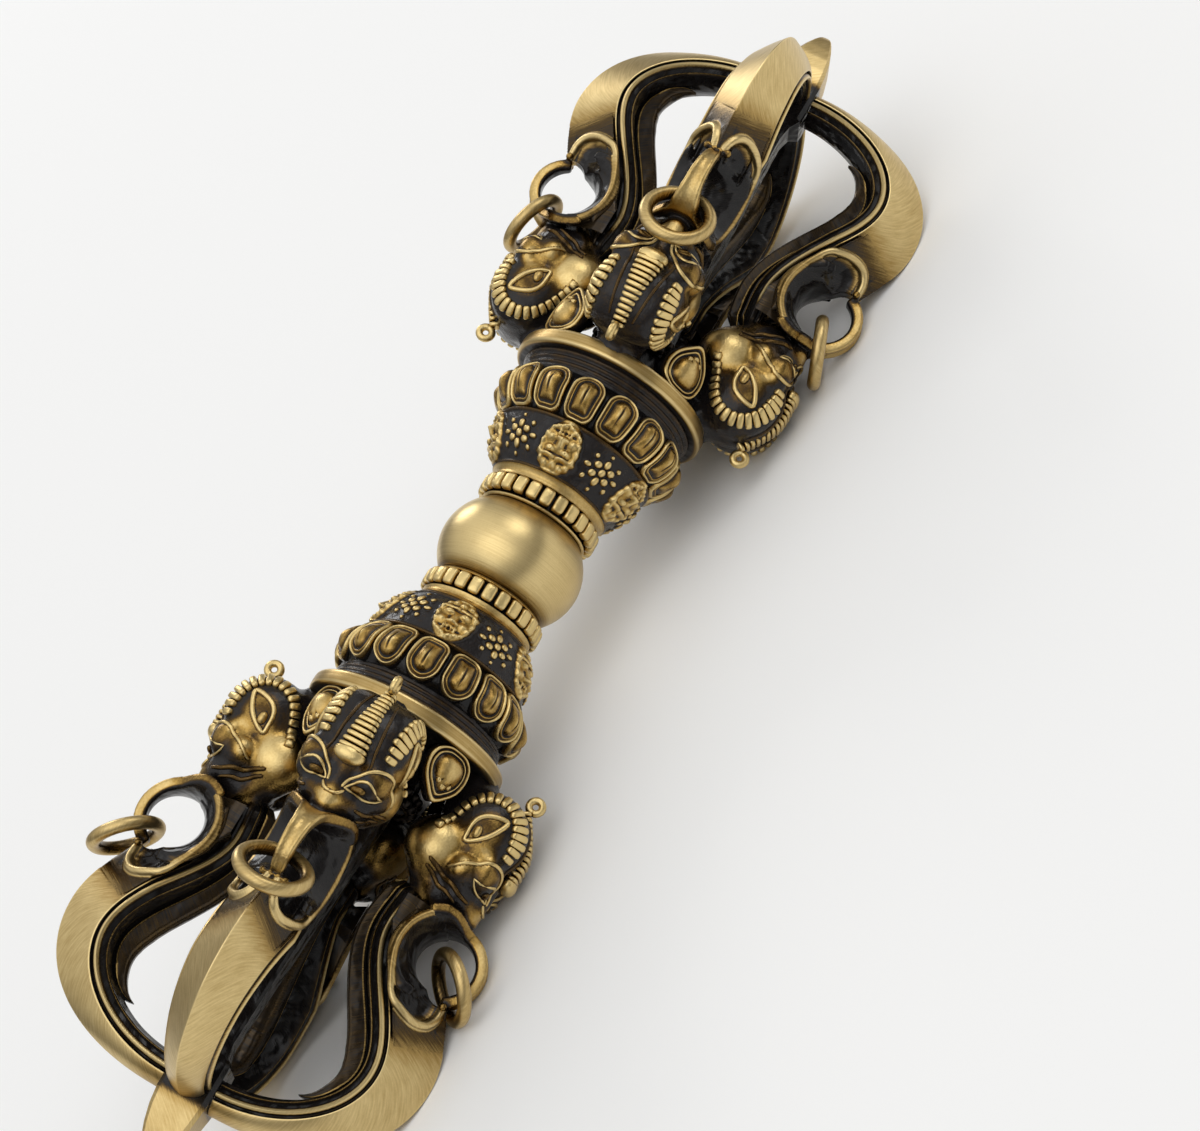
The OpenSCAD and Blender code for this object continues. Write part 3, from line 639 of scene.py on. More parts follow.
def bladeSection(v):
    # Half of the outline at a station: rows of t, r, half width, relief
    stage = {name: smoothStep(*span, v) for name, span in blade["stages"].items()}
    b, n = beadAt(v)
    start, end = blade["scrollStart"], blade["ridgeStart"]
    angle = mix(blade["scrollFrom"], blade["hornAngle"], np.clip((v - start) / (end - start), 0, 1))
    opened = smoothStep(blade["hornAngle"], blade["holeAngle"], angle)
    hole = mix(blade["hornRadius"], blade["holeRadius"], opened)
    behind = stage["scrollIn"] * (1 - stage["scrollOut"])
    # The facets make way for the hood, which is a skin of its own, and the stem has flutes
    hooded = stage["hoodIn"] * (1 - stage["hoodOut"])
    stem = 1 - stage["stemOut"]
    low = mix(b + blade["stemRise"] * n, aroundLoop(angle, hole), stage["rise"])
    top = ridgeAt(v) if v > end else low
    ridgeHalf = mix(*blade["ridgeHalf"], stage["narrow"])
    rounding = blade["crownRound"] * stage["crown"]
    half = halfWidth(v)
    edge = b + blade["edgeRise"] * n
    dim = 1 - blade["hoodDim"] * stage["hoodDim"] - blade["crownDim"] * stage["crownDim"]
    face = mix(blade["plain"], blade["face"] * dim, stage["gold"])
    rows = []
    for f in blade["across"]:
        arc = f * math.pi / 2
        spread = mix(mix(ridgeHalf, half, f), half * math.sin(arc), rounding)
        facet = mix(top, edge, mix(f, 1 - math.cos(arc), rounding))
        roof = mix(facet, edge + blade["hoodRise"] * (1 - f) * n, hooded)
        flute = stem * math.cos(f * math.tau * blade["flutes"])
        flare = mix(hole, blade["rimRadius"], f ** blade["flarePower"])
        wall = aroundLoop(angle, flare + blade["wallSink"])
        worn = face + (blade["faceEdge"] * stage["goldEdge"] if f in (0, 1) else 0)
        worn = mix(mix(worn, blade["stem"] + blade["flute"] * flute, stem), blade["scrollBack"], behind)
        wide = mix(spread + blade["fluteDepth"] * flute, blade["rimHalf"] * f, behind)
        rows.append((*mix(roof, wall, behind), wide, worn))
    for lift, out, back, worn in blade["lip"]:
        rim = aroundLoop(angle, blade["rimRadius"] + lift)
        bevel = mix(blade["plain"], blade["bevel"], stage["goldBevel"])
        wide = mix(half + blade["bevelOut"], blade["rimHalf"] + out, behind)
        rows.append((*mix(edge - back * n, rim, behind), wide, mix(bevel, worn, behind)))
    bright = blade["bead"][0] + blade["bead"][1] * stage["goldBead"]
    # The thin rib below the lower groove takes its painted highlight from its relief here
    for lift, inset, shift, dark, light in blade["rails"]:
        rows.append((*(b + lift * n), half - inset + shift * stage["outward"], dark + light * bright))
    depth, inset, goal, share, worn = blade["underEdge"]
    rows.append((*(b - depth * n), min(half - inset, mix(half, goal, share)), worn))
    rows += [(*(b - depth * n), wide, worn) for depth, wide, worn in blade["under"]]
    # The root narrows to slip under the chin
    snug = mix(blade["snugRoot"], 1, stage["snug"])
    return [(*mix(b, np.array((t, r)), snug), wide * snug, worn) for t, r, wide, worn in rows]


def bladeMesh():
    stations = np.linspace(0, 3, blade["stations"])
    halves = np.array([bladeSection(v) for v in stations])
    run = lengthAlong(halves[:, len(blade["across"]) + len(blade["lip"]), :2])
    across = np.array([lengthAlong(half[:, :3]) for half in halves])
    loops = np.concatenate((halves, halves[:, -2::-1] * (1, 1, -1, 1)), axis=1)
    spread = np.concatenate((across, across[:, -2::-1]), axis=1)
    width = loops.shape[1]
    faces = gridFaces(len(stations), width, joinColumns=True)
    last = (len(stations) - 1) * width
    for j in range(halves.shape[1] - 1):
        quad = tuple(dict.fromkeys((j, j + 1, width - 2 - j, width - 1 - j)))
        faces += [quad, tuple(last + q for q in reversed(quad))]
    brush = np.column_stack((np.repeat(run, width), spread.ravel()))
    points = loops[:, :, [0, 2, 1]].reshape(-1, 3)
    mesh = faceOutwards(meshFrom("blade", points, faces, loops[:, :, 3].ravel(), brush), weld["thin"])
    mesh.set_sharp_from_angle(angle=math.radians(blade["sharp"]))
    return mesh


bladeLoft = bladeMesh()
print("blade:", len(bladeLoft.polygons), "faces")

# Fin below the bead. It ends as a claw close to the rail.
fin = {
    # Station, outer depth, inner depth
    "places": ((0, 1.9, 1.0), (0.3, 3.0, 1.0), (1, 3.2, 1.0), (1.5, 3.7, 1.0), (1.8, 3.9, 1.0),
               (2.0, 3.75, 1.0), (2.15, 3.4, 1.0), (2.3, 2.95, 1.1), (2.4, 2.6, 1.25),
               (2.47, 2.4, 1.5), (2.52, 2.36, 1.85), (2.56, 2.42, 2.3)),
    # Depth past the inner edge, the most that may be of the width, half width, relief. The rows with relief
    # 0.5 and 0.6 make a rib on the rail side whose light colour is a painted highlight along its edge
    "section": ((0.0, 0.0, 0.55, 0.03), (0.7, 0.3, 0.6, 0.03), (0.78, 0.36, 0.98, 0.5),
                (0.88, 0.42, 1.0, 0.6), (1.0, 0.5, 0.94, 0.26), (9.0, 0.8, 0.84, 0.3), (9.0, 0.95, 0.6, 0.36),
                (9.0, 1.0, 0.25, 0.3)),
    "half": 1.35, "thin": 0.2, "fullDepth": 1.7, "stations": 170, "sharp": 45,
}


def finMesh():
    places = np.array(fin["places"])
    stations = np.linspace(0, places[-1, 0], fin["stations"])
    section = fin["section"] + tuple((a, b, -wide, worn) for a, b, wide, worn in reversed(fin["section"]))
    points, worn = [], []
    for v in stations:
        outer, inner = (np.interp(v, places[:, 0], places[:, k]) for k in (1, 2))
        half = fin["half"] * mix(fin["thin"], 1, min(1.0, (outer - inner) / fin["fullDepth"]))
        # The rib rows on the rail side carry a painted highlight in their relief
        for past, most, wide, relief in section:
            t, r = belowBead(v, inner + min(past, most * (outer - inner)))
            points.append((t, wide * half, r))
            worn.append(relief)
    points = np.array(points)
    faces = tubeFaces(len(stations), len(section))
    mesh = faceOutwards(meshFrom("fin", points, faces, worn, points[:, [0, 2]]), weld["fine"])
    mesh.set_sharp_from_angle(angle=math.radians(fin["sharp"]))
    return mesh


# Soft forms: a field is below 0 inside a form and about the distance to its surface
def ballField(p, centre, radii):
    q = (p - np.array(centre)) / np.array(radii)
    far = np.linalg.norm(q, axis=1)
    return far * (far - 1) / (np.linalg.norm(q / np.array(radii), axis=1) + tiny)


def barField(p, start, end, first, last):
    start, end = np.array(start), np.array(end)
    share = np.clip((p - start) @ (end - start) / ((end - start) @ (end - start)), 0, 1)
    return np.linalg.norm(p - start - share[:, None] * (end - start), axis=1) - mix(first, last, share)


def pathField(p, path, radii):
    # Distance to a wire of changing radius
    bars = zip(path[:-1], path[1:], radii[:-1], radii[1:])
    return np.min([barField(p, *bar) for bar in bars], axis=0)


def boxField(limits, edge):
    # Inside all limits at once, with rounded edges
    outside = np.stack(limits) + edge
    return np.linalg.norm(np.maximum(outside, 0), axis=0) + np.minimum(outside.max(0), 0) - edge


def soften(a, b, soft):
    share = np.clip(0.5 + 0.5 * (b - a) / soft, 0, 1)
    return mix(b, a, share) - soft * share * (1 - share)


def skinOf(field, low, step):
    # Surface nets: a point in every cell that the surface crosses and a quad on every grid line it crosses
    shape = np.array(field.shape) - 1
    total = np.zeros((*shape, 3))
    hits = np.zeros(shape)
    for axis in range(3):
        first, second = (k for k in range(3) if k != axis)
        for a, b in ((0, 0), (0, 1), (1, 0), (1, 1)):
            start = np.zeros(3, int)
            start[first], start[second] = a, b
            near = field[tuple(slice(s, s + n) for s, n in zip(start, shape))]
            start[axis] = 1
            beyond = field[tuple(slice(s, s + n) for s, n in zip(start, shape))]
            crossed = (near < 0) != (beyond < 0)
            total[..., axis] += np.where(crossed, near / np.where(crossed, near - beyond, 1), 0)
            total[..., first] += a * crossed
            total[..., second] += b * crossed
            hits += crossed
    used = hits > 0
    index = np.full(shape, -1)
    index[used] = np.arange(used.sum())
    points = np.array(low) + step * (np.argwhere(used) + total[used] / hits[used][:, None])
    faces = []
    for axis in range(3):
        first, second = (axis + 1) % 3, (axis + 2) % 3
        ahead = np.moveaxis(field, axis, 0)
        spots = np.argwhere(np.moveaxis((ahead[:-1] < 0) != (ahead[1:] < 0), 0, axis))
        spots = spots[(spots[:, first] > 0) & (spots[:, second] > 0)]
        spots = spots[(spots[:, first] < shape[first]) & (spots[:, second] < shape[second])]
        quads = []
        for a, b in ((0, 0), (1, 0), (1, 1), (0, 1)):
            cell = spots.copy()
            cell[:, first] -= a
            cell[:, second] -= b
            quads.append(index[tuple(cell.T)])
        faces.append(np.column_stack(quads))
    return points, np.vstack(faces)


def sampled(fieldAt, low, high, step, parts=12):
    low, high = np.array(low), np.array(high)
    counts = np.ceil((high - low) / step).astype(int) + 1
    axes = [low[k] + step * np.arange(counts[k]) for k in range(3)]
    grid = np.stack(np.meshgrid(*axes, indexing="ij"), axis=-1).reshape(-1, 3)
    field = np.concatenate([fieldAt(part) for part in np.array_split(grid, parts)]).reshape(counts)
    return skinOf(field, low, step)


def gradientAt(fieldAt, p, reach=0.05):
    steps = [fieldAt(p + way) - fieldAt(p - way) for way in reach * np.eye(3)]
    return np.column_stack(steps) / (2 * reach)


def slopeAt(fieldAt, p):
    return unit(gradientAt(fieldAt, p))


# Scroll: the flared wall behind the loop, with rims that run up into two arches at the end of the trunk
scroll = {
    "low": (38.2, -5.4, 9.6), "high": (54.2, 5.4, 21.6), "step": 0.16, "holeRadius": 3.12, "flare": 1.62,
    "halfWidth": 4.35, "thick": 1.1, "wallEnd": 246, "edge": 0.25, "seam": -60, "sideGap": 0.03,
    # Rim: angle round the loop, distance from its middle, place across, wire radius
    "rim": ((62, 4.5, 0.62, 0.36), (66, 5.35, 0.78, 0.4), (70, 6.1, 1.08, 0.43), (76.5, 6.8, 1.62, 0.46),
            (85, 7.05, 2.4, 0.46), (94, 6.9, 3.2, 0.45), (103, 6.7, 3.75, 0.43), (110, 6.6, 4.0, 0.4),
            (118, 6.25, 4.13, 0.35), (130, 5.65, 4.24, 0.29), (145, 5.2, 4.3, 0.25), (160, 5.0, 4.32, 0.22),
            (180, 4.9, 4.25, 0.21), (200, 4.9, 4.15, 0.21), (225, 4.9, 4.0, 0.21), (246, 4.9, 3.75, 0.21)),
    # Pocket in the face between the arches: rows of the rim round it, depth in degrees, where it closes
    "archRows": 8, "faceBack": 2, "hollow": 34, "hollowSide": (3.55, 2.8), "hollowTop": 0.1,
    "hollowLeast": 0.3, "release": 60, "slopeReach": 0.1,
    # Hood: half width, slant, height over the facets, and the stations where it dives below them
    "bodyHalf": 3.95, "roofCosine": 0.58, "roofLift": 0.03, "dive": 0.4, "diveSpan": (1.78, 1.96),
    "beadLine": ((44.5, 11.3), (52.0, 15.7)), "bodySoft": 0.5, "rimSoft": 0.3,
    # Relief of the parts, and the spans over which each comes in
    "plain": 0.26, "roof": (0.04, 0.54), "roofSpan": (1.65, 1.95), "roofDepth": (0.5, 0.15),
    "inside": 0.16, "insideSpan": (0.5, 0.1), "face": 0.1, "faceSpan": (0.6, 0.2), "archSpan": (136, 112),
    "archGold": 0.66, "archGoldSpan": (1.5, 0.1), "rimGold": (0.66, 0.9), "rimSpan": (0.3, 0.06),
    "lip": 0.55, "lipSide": (4.0, 4.25), "lipTurn": (125, 140), "lipOut": (0.05, 0.3),
}
rimRows = np.array(scroll["rim"])
rimFine = throughPoints(rimRows, 4)
rimTurn = np.radians(rimFine[:, 0])
rimPath = np.column_stack((blade["loop"][0] + rimFine[:, 1] * np.sin(rimTurn), rimFine[:, 2],
                           blade["loop"][1] + rimFine[:, 1] * np.cos(rimTurn)))


def loopPlace(q, seam=-180):
    # Distance from the middle of the loop, and angle round it from straight out, counted on from a seam
    dt, dr = q[:, 0] - blade["loop"][0], q[:, 2] - blade["loop"][1]
    angle = np.degrees(np.arctan2(dt, dr))
    return np.hypot(dt, dr), np.where(angle < seam, angle + 360, angle)


def flaredWall(across):
    share = np.abs(across) / scroll["halfWidth"]
    return scroll["holeRadius"] + scroll["flare"] * share ** blade["flarePower"]


# Height and station of the blade's facets over a grid of places along and across
roofGrid = {"from": 43.0, "to": 55.0, "along": 61, "half": 4.4, "across": 23, "stations": 40, "lead": 4,
            "margin": 0.001}


def roofTable():
    stations = np.linspace(blade["ridgeStart"], 2.0, roofGrid["stations"])
    tops = np.array([ridgeAt(v) for v in stations])
    edges = np.array([belowBead(v, -blade["edgeRise"]) for v in stations])
    goal = np.linspace(roofGrid["from"], roofGrid["to"], roofGrid["along"])
    k = roofGrid["lead"]
    heights, places = [], []
    for across in np.linspace(0, roofGrid["half"], roofGrid["across"]):
        t, r = mix(tops, edges, np.clip(across / halfWidth(stations), 0, 1)[:, None]).T
        lead = (r[k] - r[0]) / (t[k] - t[0])
        heights.append(np.where(goal < t[0], r[0] + lead * (goal - t[0]), np.interp(goal, t, r)))
        places.append(np.interp(goal, t, stations))
    return np.array(heights), np.array(places)


roofHeights, roofStations = roofTable()


def roofAt(table, q):
    most = np.array((roofGrid["along"], roofGrid["across"])) - 1
    span = np.array((roofGrid["to"] - roofGrid["from"], roofGrid["half"]))
    u, v = np.clip((q[:, :2] - (roofGrid["from"], 0)) / span * most, 0, most - roofGrid["margin"]).T
    i, j = v.astype(int), u.astype(int)
    near = mix(table[i, j], table[i + 1, j], v - i)
    far = mix(table[i, j + 1], table[i + 1, j + 1], v - i)
    return mix(near, far, u - j)


def turnsAhead(q):
    # How far round the loop a point lies in front of the face between the arches, hollowed below the rim
    rho, angle = loopPlace(q, scroll["seam"])
    arch = rimRows[:scroll["archRows"]]
    first = np.interp(q[:, 1], arch[:, 2], arch[:, 0]) + scroll["faceBack"]
    rim = np.interp(q[:, 1], arch[:, 2], arch[:, 1])
    room = np.maximum(rim - flaredWall(q[:, 1]), scroll["hollowLeast"])
    deep = np.clip((rim - scroll["hollowTop"] - rho) / room, 0, 1)
    beyond = scroll["release"] * np.maximum(rho - rim, 0)
    hollow = scroll["hollow"] * smoothStep(*scroll["hollowSide"], q[:, 1])
    return np.radians(first + hollow * np.sqrt(deep) - beyond - angle) * rho


def aheadOfRim(q):
    steep = np.linalg.norm(gradientAt(turnsAhead, q, scroll["slopeReach"]), axis=1)
    return turnsAhead(q) / np.maximum(steep, 1)


def scrollField(p):
    q = folded(p)
    rho, angle = loopPlace(q, scroll["seam"])
    wall = flaredWall(q[:, 1])
    before = aheadOfRim(q)
    after = np.radians(angle - scroll["wallEnd"]) * rho
    half = scroll["thick"] / 2
    lips = rimRows[scroll["archRows"] - 1:]
    side = q[:, 1] - np.interp(angle, lips[:, 0], lips[:, 2]) - scroll["sideGap"]
    sheet = boxField((np.abs(rho - wall - half) - half, side, before, after), scroll["edge"])
    # The hood lies a little above the blade's facets and dives below them further out
    sunk = scroll["dive"] * smoothStep(*scroll["diveSpan"], roofAt(roofStations, q)) - scroll["roofLift"]
    roof = (q[:, 2] - roofAt(roofHeights, q)) * scroll["roofCosine"] + sunk
    (t0, r0), (t1, r1) = scroll["beadLine"]
    below = ((q[:, 0] - t0) * (r1 - r0) - (q[:, 2] - r0) * (t1 - t0)) / math.hypot(t1 - t0, r1 - r0)
    body = np.stack((roof, wall - rho, before, below, q[:, 1] - scroll["bodyHalf"], after)).max(0)
    skin = soften(sheet, body, scroll["bodySoft"])
    return soften(skin, pathField(q, rimPath, rimFine[:, 3]), scroll["rimSoft"])


def scrollMesh():
    points, faces = sampled(scrollField, scroll["low"], scroll["high"], scroll["step"])
    q = folded(points)
    rho, angle = loopPlace(q, scroll["seam"])
    fromWall = rho - flaredWall(q[:, 1])
    offRim = pathField(q, rimPath, rimFine[:, 3])
    onArch = smoothStep(*scroll["archSpan"], angle)
    onRoof = smoothStep(*scroll["roofDepth"], roofAt(roofHeights, q) - q[:, 2])
    roof = scroll["roof"][0] + scroll["roof"][1] * smoothStep(*scroll["roofSpan"], roofAt(roofStations, q))
    worn = scroll["plain"] + roof * onRoof - scroll["inside"] * smoothStep(*scroll["insideSpan"], fromWall)
    worn = mix(worn, scroll["face"], smoothStep(*scroll["faceSpan"], np.abs(aheadOfRim(q))))
    gold = scroll["archGold"] * smoothStep(*scroll["archGoldSpan"], offRim) * onArch * (1 - onRoof)
    rim = mix(*scroll["rimGold"], onArch)
    worn = mix(np.maximum(worn, gold), rim, smoothStep(*scroll["rimSpan"], offRim))
    lip = smoothStep(*scroll["lipSide"], q[:, 1]) * smoothStep(*scroll["lipTurn"], angle)
    worn = np.maximum(worn, scroll["lip"] * lip * smoothStep(*scroll["lipOut"], fromWall))
    return faceOutwards(meshFrom("scroll", points, faces, worn, points[:, :2]), weld["fine"])


bladeOnce = joinMeshes("blade", [bladeLoft, finMesh(), scrollMesh()])
print("scroll:", len(bladeOnce.polygons), "faces with the blade")

# Spear: a square bar with softened edges that swells to a head and ends in a blunt point
spear = {
    # Place along the axis, half width
    "places": ((29.5, 2.9), (43.3, 2.25), (60.0, 1.6), (61.6, 1.9), (62.5, 2.75), (63.2, 2.8), (67.4, 2.8),
               (69.4, 2.55), (71.2, 2.12), (72.8, 1.56), (73.8, 1.12), (74.4, 0.8), (74.75, 0.52),
               (74.93, 0.28), (75.0, 0.08)),
    "steps": 70, "soften": 0.16, "turn": 45, "sharp": 30, "bossSegments": 64,
    # Relief: the shaft, the head and where it begins, the dark neck and where it begins
    "shaft": 0.12, "head": 0.75, "headSpan": (66.6, 68.2), "neck": 0.06, "neckSpan": (40, 60),
    "boss": ((23.5, 0, 0.1), (23.5, 4.3, 0.1), (30.0, 4.3, 0.1), (30.5, 3.8, 0.15), (30.5, 0, 0.1)),
}


def spearMesh():
    soft = 1 - spear["soften"]
    bar = [(1, soft), (soft, 1), (-soft, 1), (-1, soft), (-1, -soft), (-soft, -1), (soft, -1), (1, -soft)]
    places = np.array(spear["places"])
    fine = np.unique(np.concatenate((places[:, 0], np.linspace(places[0, 0], places[-1, 0], spear["steps"]))))
    half = np.interp(fine, places[:, 0], places[:, 1])
    points = np.array([(t, h * a, h * b) for t, h in zip(fine, half) for a, b in bar])
    worn = spear["shaft"] + spear["head"] * smoothStep(*spear["headSpan"], points[:, 0])
    worn -= spear["neck"] * smoothStep(*spear["neckSpan"], points[:, 0])
    brush = np.column_stack((points[:, 0], points[:, 1] + points[:, 2]))
    shaft = faceOutwards(meshFrom("spear", points, tubeFaces(len(fine), len(bar)), worn, brush), weld["thin"])
    shaft.set_sharp_from_angle(angle=math.radians(spear["sharp"]))
    shaft.transform(Matrix.Rotation(math.radians(spear["turn"]), 4, "X"))
    return joinMeshes("spear", [shaft, turned("boss", spear["boss"], spear["bossSegments"])])


# Rim plate with a brushed edge. Outline: place along the axis, radius, relief
plate = {"outline": (
    (21.7, 0, 0.1), (21.7, 10.75, 0.1), (21.7, 11.15, 0.6), (21.85, 11.37, 0.97), (22.0, 11.45, 0.92),
    (22.2, 11.47, 0.66), (22.6, 11.48, 0.72), (23.0, 11.47, 0.66), (23.2, 11.45, 0.92), (23.35, 11.37, 0.97),
    (23.5, 11.15, 0.7), (23.5, 10.9, 0.4), (23.5, 10.55, 0.08), (23.5, 0, 0.06))}

# String of dark beads round the foot of the spear
string = {"rows": (28.6, 29.7), "radius": 5.0, "beads": 22, "beadRadius": 0.56, "beadShape": (0.9, 6, 10),
          "stagger": 8.2, "worn": 0.42, "segments": 48,
          "core": ((28.1, 4.35, 0), (28.1, 4.7, 0), (30.2, 4.7, 0), (30.2, 4.35, 0), (28.1, 4.35, 0))}


def beadString():
    rows = []
    for k, along in enumerate(string["rows"]):
        size = [string["beadRadius"]] * 3
        bead = blockAt((along, 0, string["radius"]), size, *string["beadShape"], relief=string["worn"])
        rows.append(roundTheAxis(bead, string["beads"], string["stagger"] * k))
    return joinMeshes("string", rows + [turned("string", string["core"], string["segments"])])


spearOnce = spearMesh()
plateMesh = turned("plate", plate["outline"], lathe["fine"])
stringMesh = beadString()
print("spear, plate and string done")

# Loose rings of round wire
ring = {"mean": 3.5, "wire": 0.75, "segments": 96, "around": 24, "worn": 0.8, "innerDim": 0.4}


def ringMesh(node, side, corner):
    # The wire's plane, middle and axis come from where the solid lies
    inverse = prongMatrix(side, corner).inverted()
    points = np.array([inverse @ v.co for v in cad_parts[node].data.vertices])
    axes = np.linalg.svd(points - points.mean(0), full_matrices=False)[2]
    reach = (points - points.mean(0)) @ axes.T
    middle = points.mean(0) + (reach.min(0) + reach.max(0)) / 2 @ axes
    n, m = ring["segments"], ring["around"]
    turn = np.linspace(0, math.tau, n, endpoint=False)
    spin = np.linspace(0, math.tau, m, endpoint=False)
    out = np.cos(turn)[:, None] * axes[0] + np.sin(turn)[:, None] * axes[1]
    wire = (ring["mean"] + ring["wire"] * np.cos(spin))[None, :, None]
    rows = middle + out[:, None, :] * wire + (ring["wire"] * np.sin(spin))[None, :, None] * axes[2]
    inner = 0.5 - 0.5 * np.cos(spin)
    worn = np.tile(ring["worn"] - ring["innerDim"] * inner ** 3, n)
    brush = np.column_stack((np.repeat(turn * ring["mean"], m), np.tile(ring["wire"] * spin, n)))
    faces = gridFaces(n, m, joinRows=True, joinColumns=True)
    return faceOutwards(meshFrom("ring", rows.reshape(-1, 3), faces, worn, brush), weld["fine"])


def blur(field, passes):
    # Binomial blur over rows and columns, where the columns close on themselves
    for step in range(passes):
        wide = np.pad(field, ((0, 0), (1, 1)), mode="wrap")
        field = (wide[:, :-2] + 2 * wide[:, 1:-1] + wide[:, 2:]) / 4
        tall = np.pad(field, ((1, 1), (0, 0)), mode="edge")
        field = (tall[:-2] + 2 * tall[1:-1] + tall[2:]) / 4
    return field


def ovalFar(x, y, spot):
    # Distance from a spot and its mirror image, squared: place across and along, half sizes
    px, py, sx, sy = spot
    return ((np.abs(x) - px) / sx) ** 2 + ((y - py) / sy) ** 2


def softBumps(x, y, rows, sharpness=1.2):
    return sum(lift * np.exp(-sharpness * ovalFar(x, y, spot)) for *spot, lift in rows)


def carvedBand(name, count, places, radii, heights, relief):
    # One sector of a turned band with carving on it, repeated round the axis and closed to the axis
    columns = heights.shape[1]
    turn = np.linspace(-math.pi / count, math.pi / count, columns)
    r = np.pad(np.asarray(radii)[:, None] + heights, ((1, 1), (0, 0)))
    t = np.repeat(np.pad(places, 1, mode="edge")[:, None], columns, axis=1)
    shell = np.stack((t, r * np.sin(turn), r * np.cos(turn)), axis=2)
    worn = np.pad(relief, ((1, 1), (0, 0)))
    sector = meshFrom(name, shell.reshape(-1, 3), gridFaces(len(shell), columns), worn.ravel())
    return faceOutwards(roundTheAxis(sector, count, firstProngTurn), weld["band"])


# Lotus cup: sixteen petals with a double rim round a furrowed seed, under a grooved shoulder
lotus = {
    "petals": 16, "from": 14.2, "petalLength": 5.4, "shoulderTo": 21.7, "smallRadius": 9.4,
    "largeRadius": 11.2, "shoulderRadius": 10.3, "peak": 0.65, "halfWidth": 2.05, "columns": 53, "rows": 72,
    "depth": 0.85, "footCorner": 1.2, "tipCorner": 0.02, "petalShift": 0.03,
    # Heights by the distance inside a petal: bed, rims as middle, width and lift, and bean
    "bed": (-0.04, 0.2, 0.52), "rims": ((0.24, 0.14, 0.34), (0.66, 0.1, 0.22)), "bean": (0.84, 1.5, 0.42),
    # Seed on the bean of a petal, and its furrow: place across and along, half sizes, height
    "seed": ((0.0, 0.05, 0.62, 1.1, 0.42), (0.0, 0.05, 0.12, 0.95, -0.34)),
    # Relief: passes of blur, middle, gain, most, and where it begins
    "blur": 28, "worn": 0.44, "gain": 2.9, "most": 0.95, "wornSpan": (-0.02, 0.14),
    "shoulderRows": 22, "shoulderStart": 0.06, "grooves": 3.5, "grooveDepth": 0.09, "sunk": 0.5,
    "flare": 0.62, "shoulderWorn": 0.2, "grooveWorn": 1.1,
}


def petalInside(x, y, narrow):
    # Distance inside a petal that is square at its foot and round at its tip
    corner = np.where(y > 0, narrow - lotus["tipCorner"], lotus["footCorner"])
    qx = np.abs(x) - narrow + corner
    qy = np.abs(y - lotus["petalShift"]) - lotus["petalLength"] / 2 + corner
    return corner - np.hypot(np.maximum(qx, 0), np.maximum(qy, 0)) - np.minimum(np.maximum(qx, qy), 0)


def lotusCup():
    half = math.pi / lotus["petals"]
    share = np.linspace(0, 1, lotus["rows"])
    places = lotus["from"] + lotus["petalLength"] * share
    large, peak = lotus["largeRadius"], lotus["peak"]
    swell = (large - lotus["smallRadius"]) * (1 - share / peak) ** 2
    tuck = (large - lotus["shoulderRadius"]) * ((share - peak) / (1 - peak)) ** 2
    radii = large - np.where(share < peak, swell, tuck)
    x = np.linspace(-half, half, lotus["columns"])[None, :] * radii[:, None]
    y = (places - lotus["from"] - lotus["petalLength"] / 2)[:, None]
    inside = petalInside(x, y, lotus["halfWidth"] * (radii / large)[:, None])
    low, high, lift = lotus["bed"]
    heights = lift * smoothStep(low, high, inside) - lotus["depth"]
    for centre, width, lift in lotus["rims"]:
        heights += lift * np.exp(-((inside - centre) / width) ** 2)
    low, high, lift = lotus["bean"]
    heights += lift * np.sqrt(smoothStep(low, high, inside)) + softBumps(x, y, lotus["seed"])
    proud = heights - blur(heights, lotus["blur"])
    relief = np.clip(lotus["worn"] + lotus["gain"] * proud, 0, lotus["most"])
    relief *= smoothStep(*lotus["wornSpan"], inside)
    # Concave shoulder with turned grooves
    run = np.linspace(lotus["shoulderStart"], 1, lotus["shoulderRows"])
    groove = lotus["grooveDepth"] * np.cos(run * math.tau * lotus["grooves"])
    shoulderAt = mix(lotus["from"] + lotus["petalLength"], lotus["shoulderTo"], run)
    shoulderR = lotus["shoulderRadius"] - lotus["sunk"] + lotus["flare"] * run ** 2 + groove
    grooveRelief = lotus["shoulderWorn"] + lotus["grooveWorn"] * np.maximum(groove, 0)
    flat = np.zeros((len(run), lotus["columns"]))
    return carvedBand(
        "lotus", lotus["petals"], np.concatenate((places, shoulderAt)), np.concatenate((radii, shoulderR)),
        np.vstack((heights, flat)), np.vstack((relief, flat + grooveRelief[:, None])))


lotusMesh = lotusCup()
print("lotus cup:", len(lotusMesh.polygons), "faces")

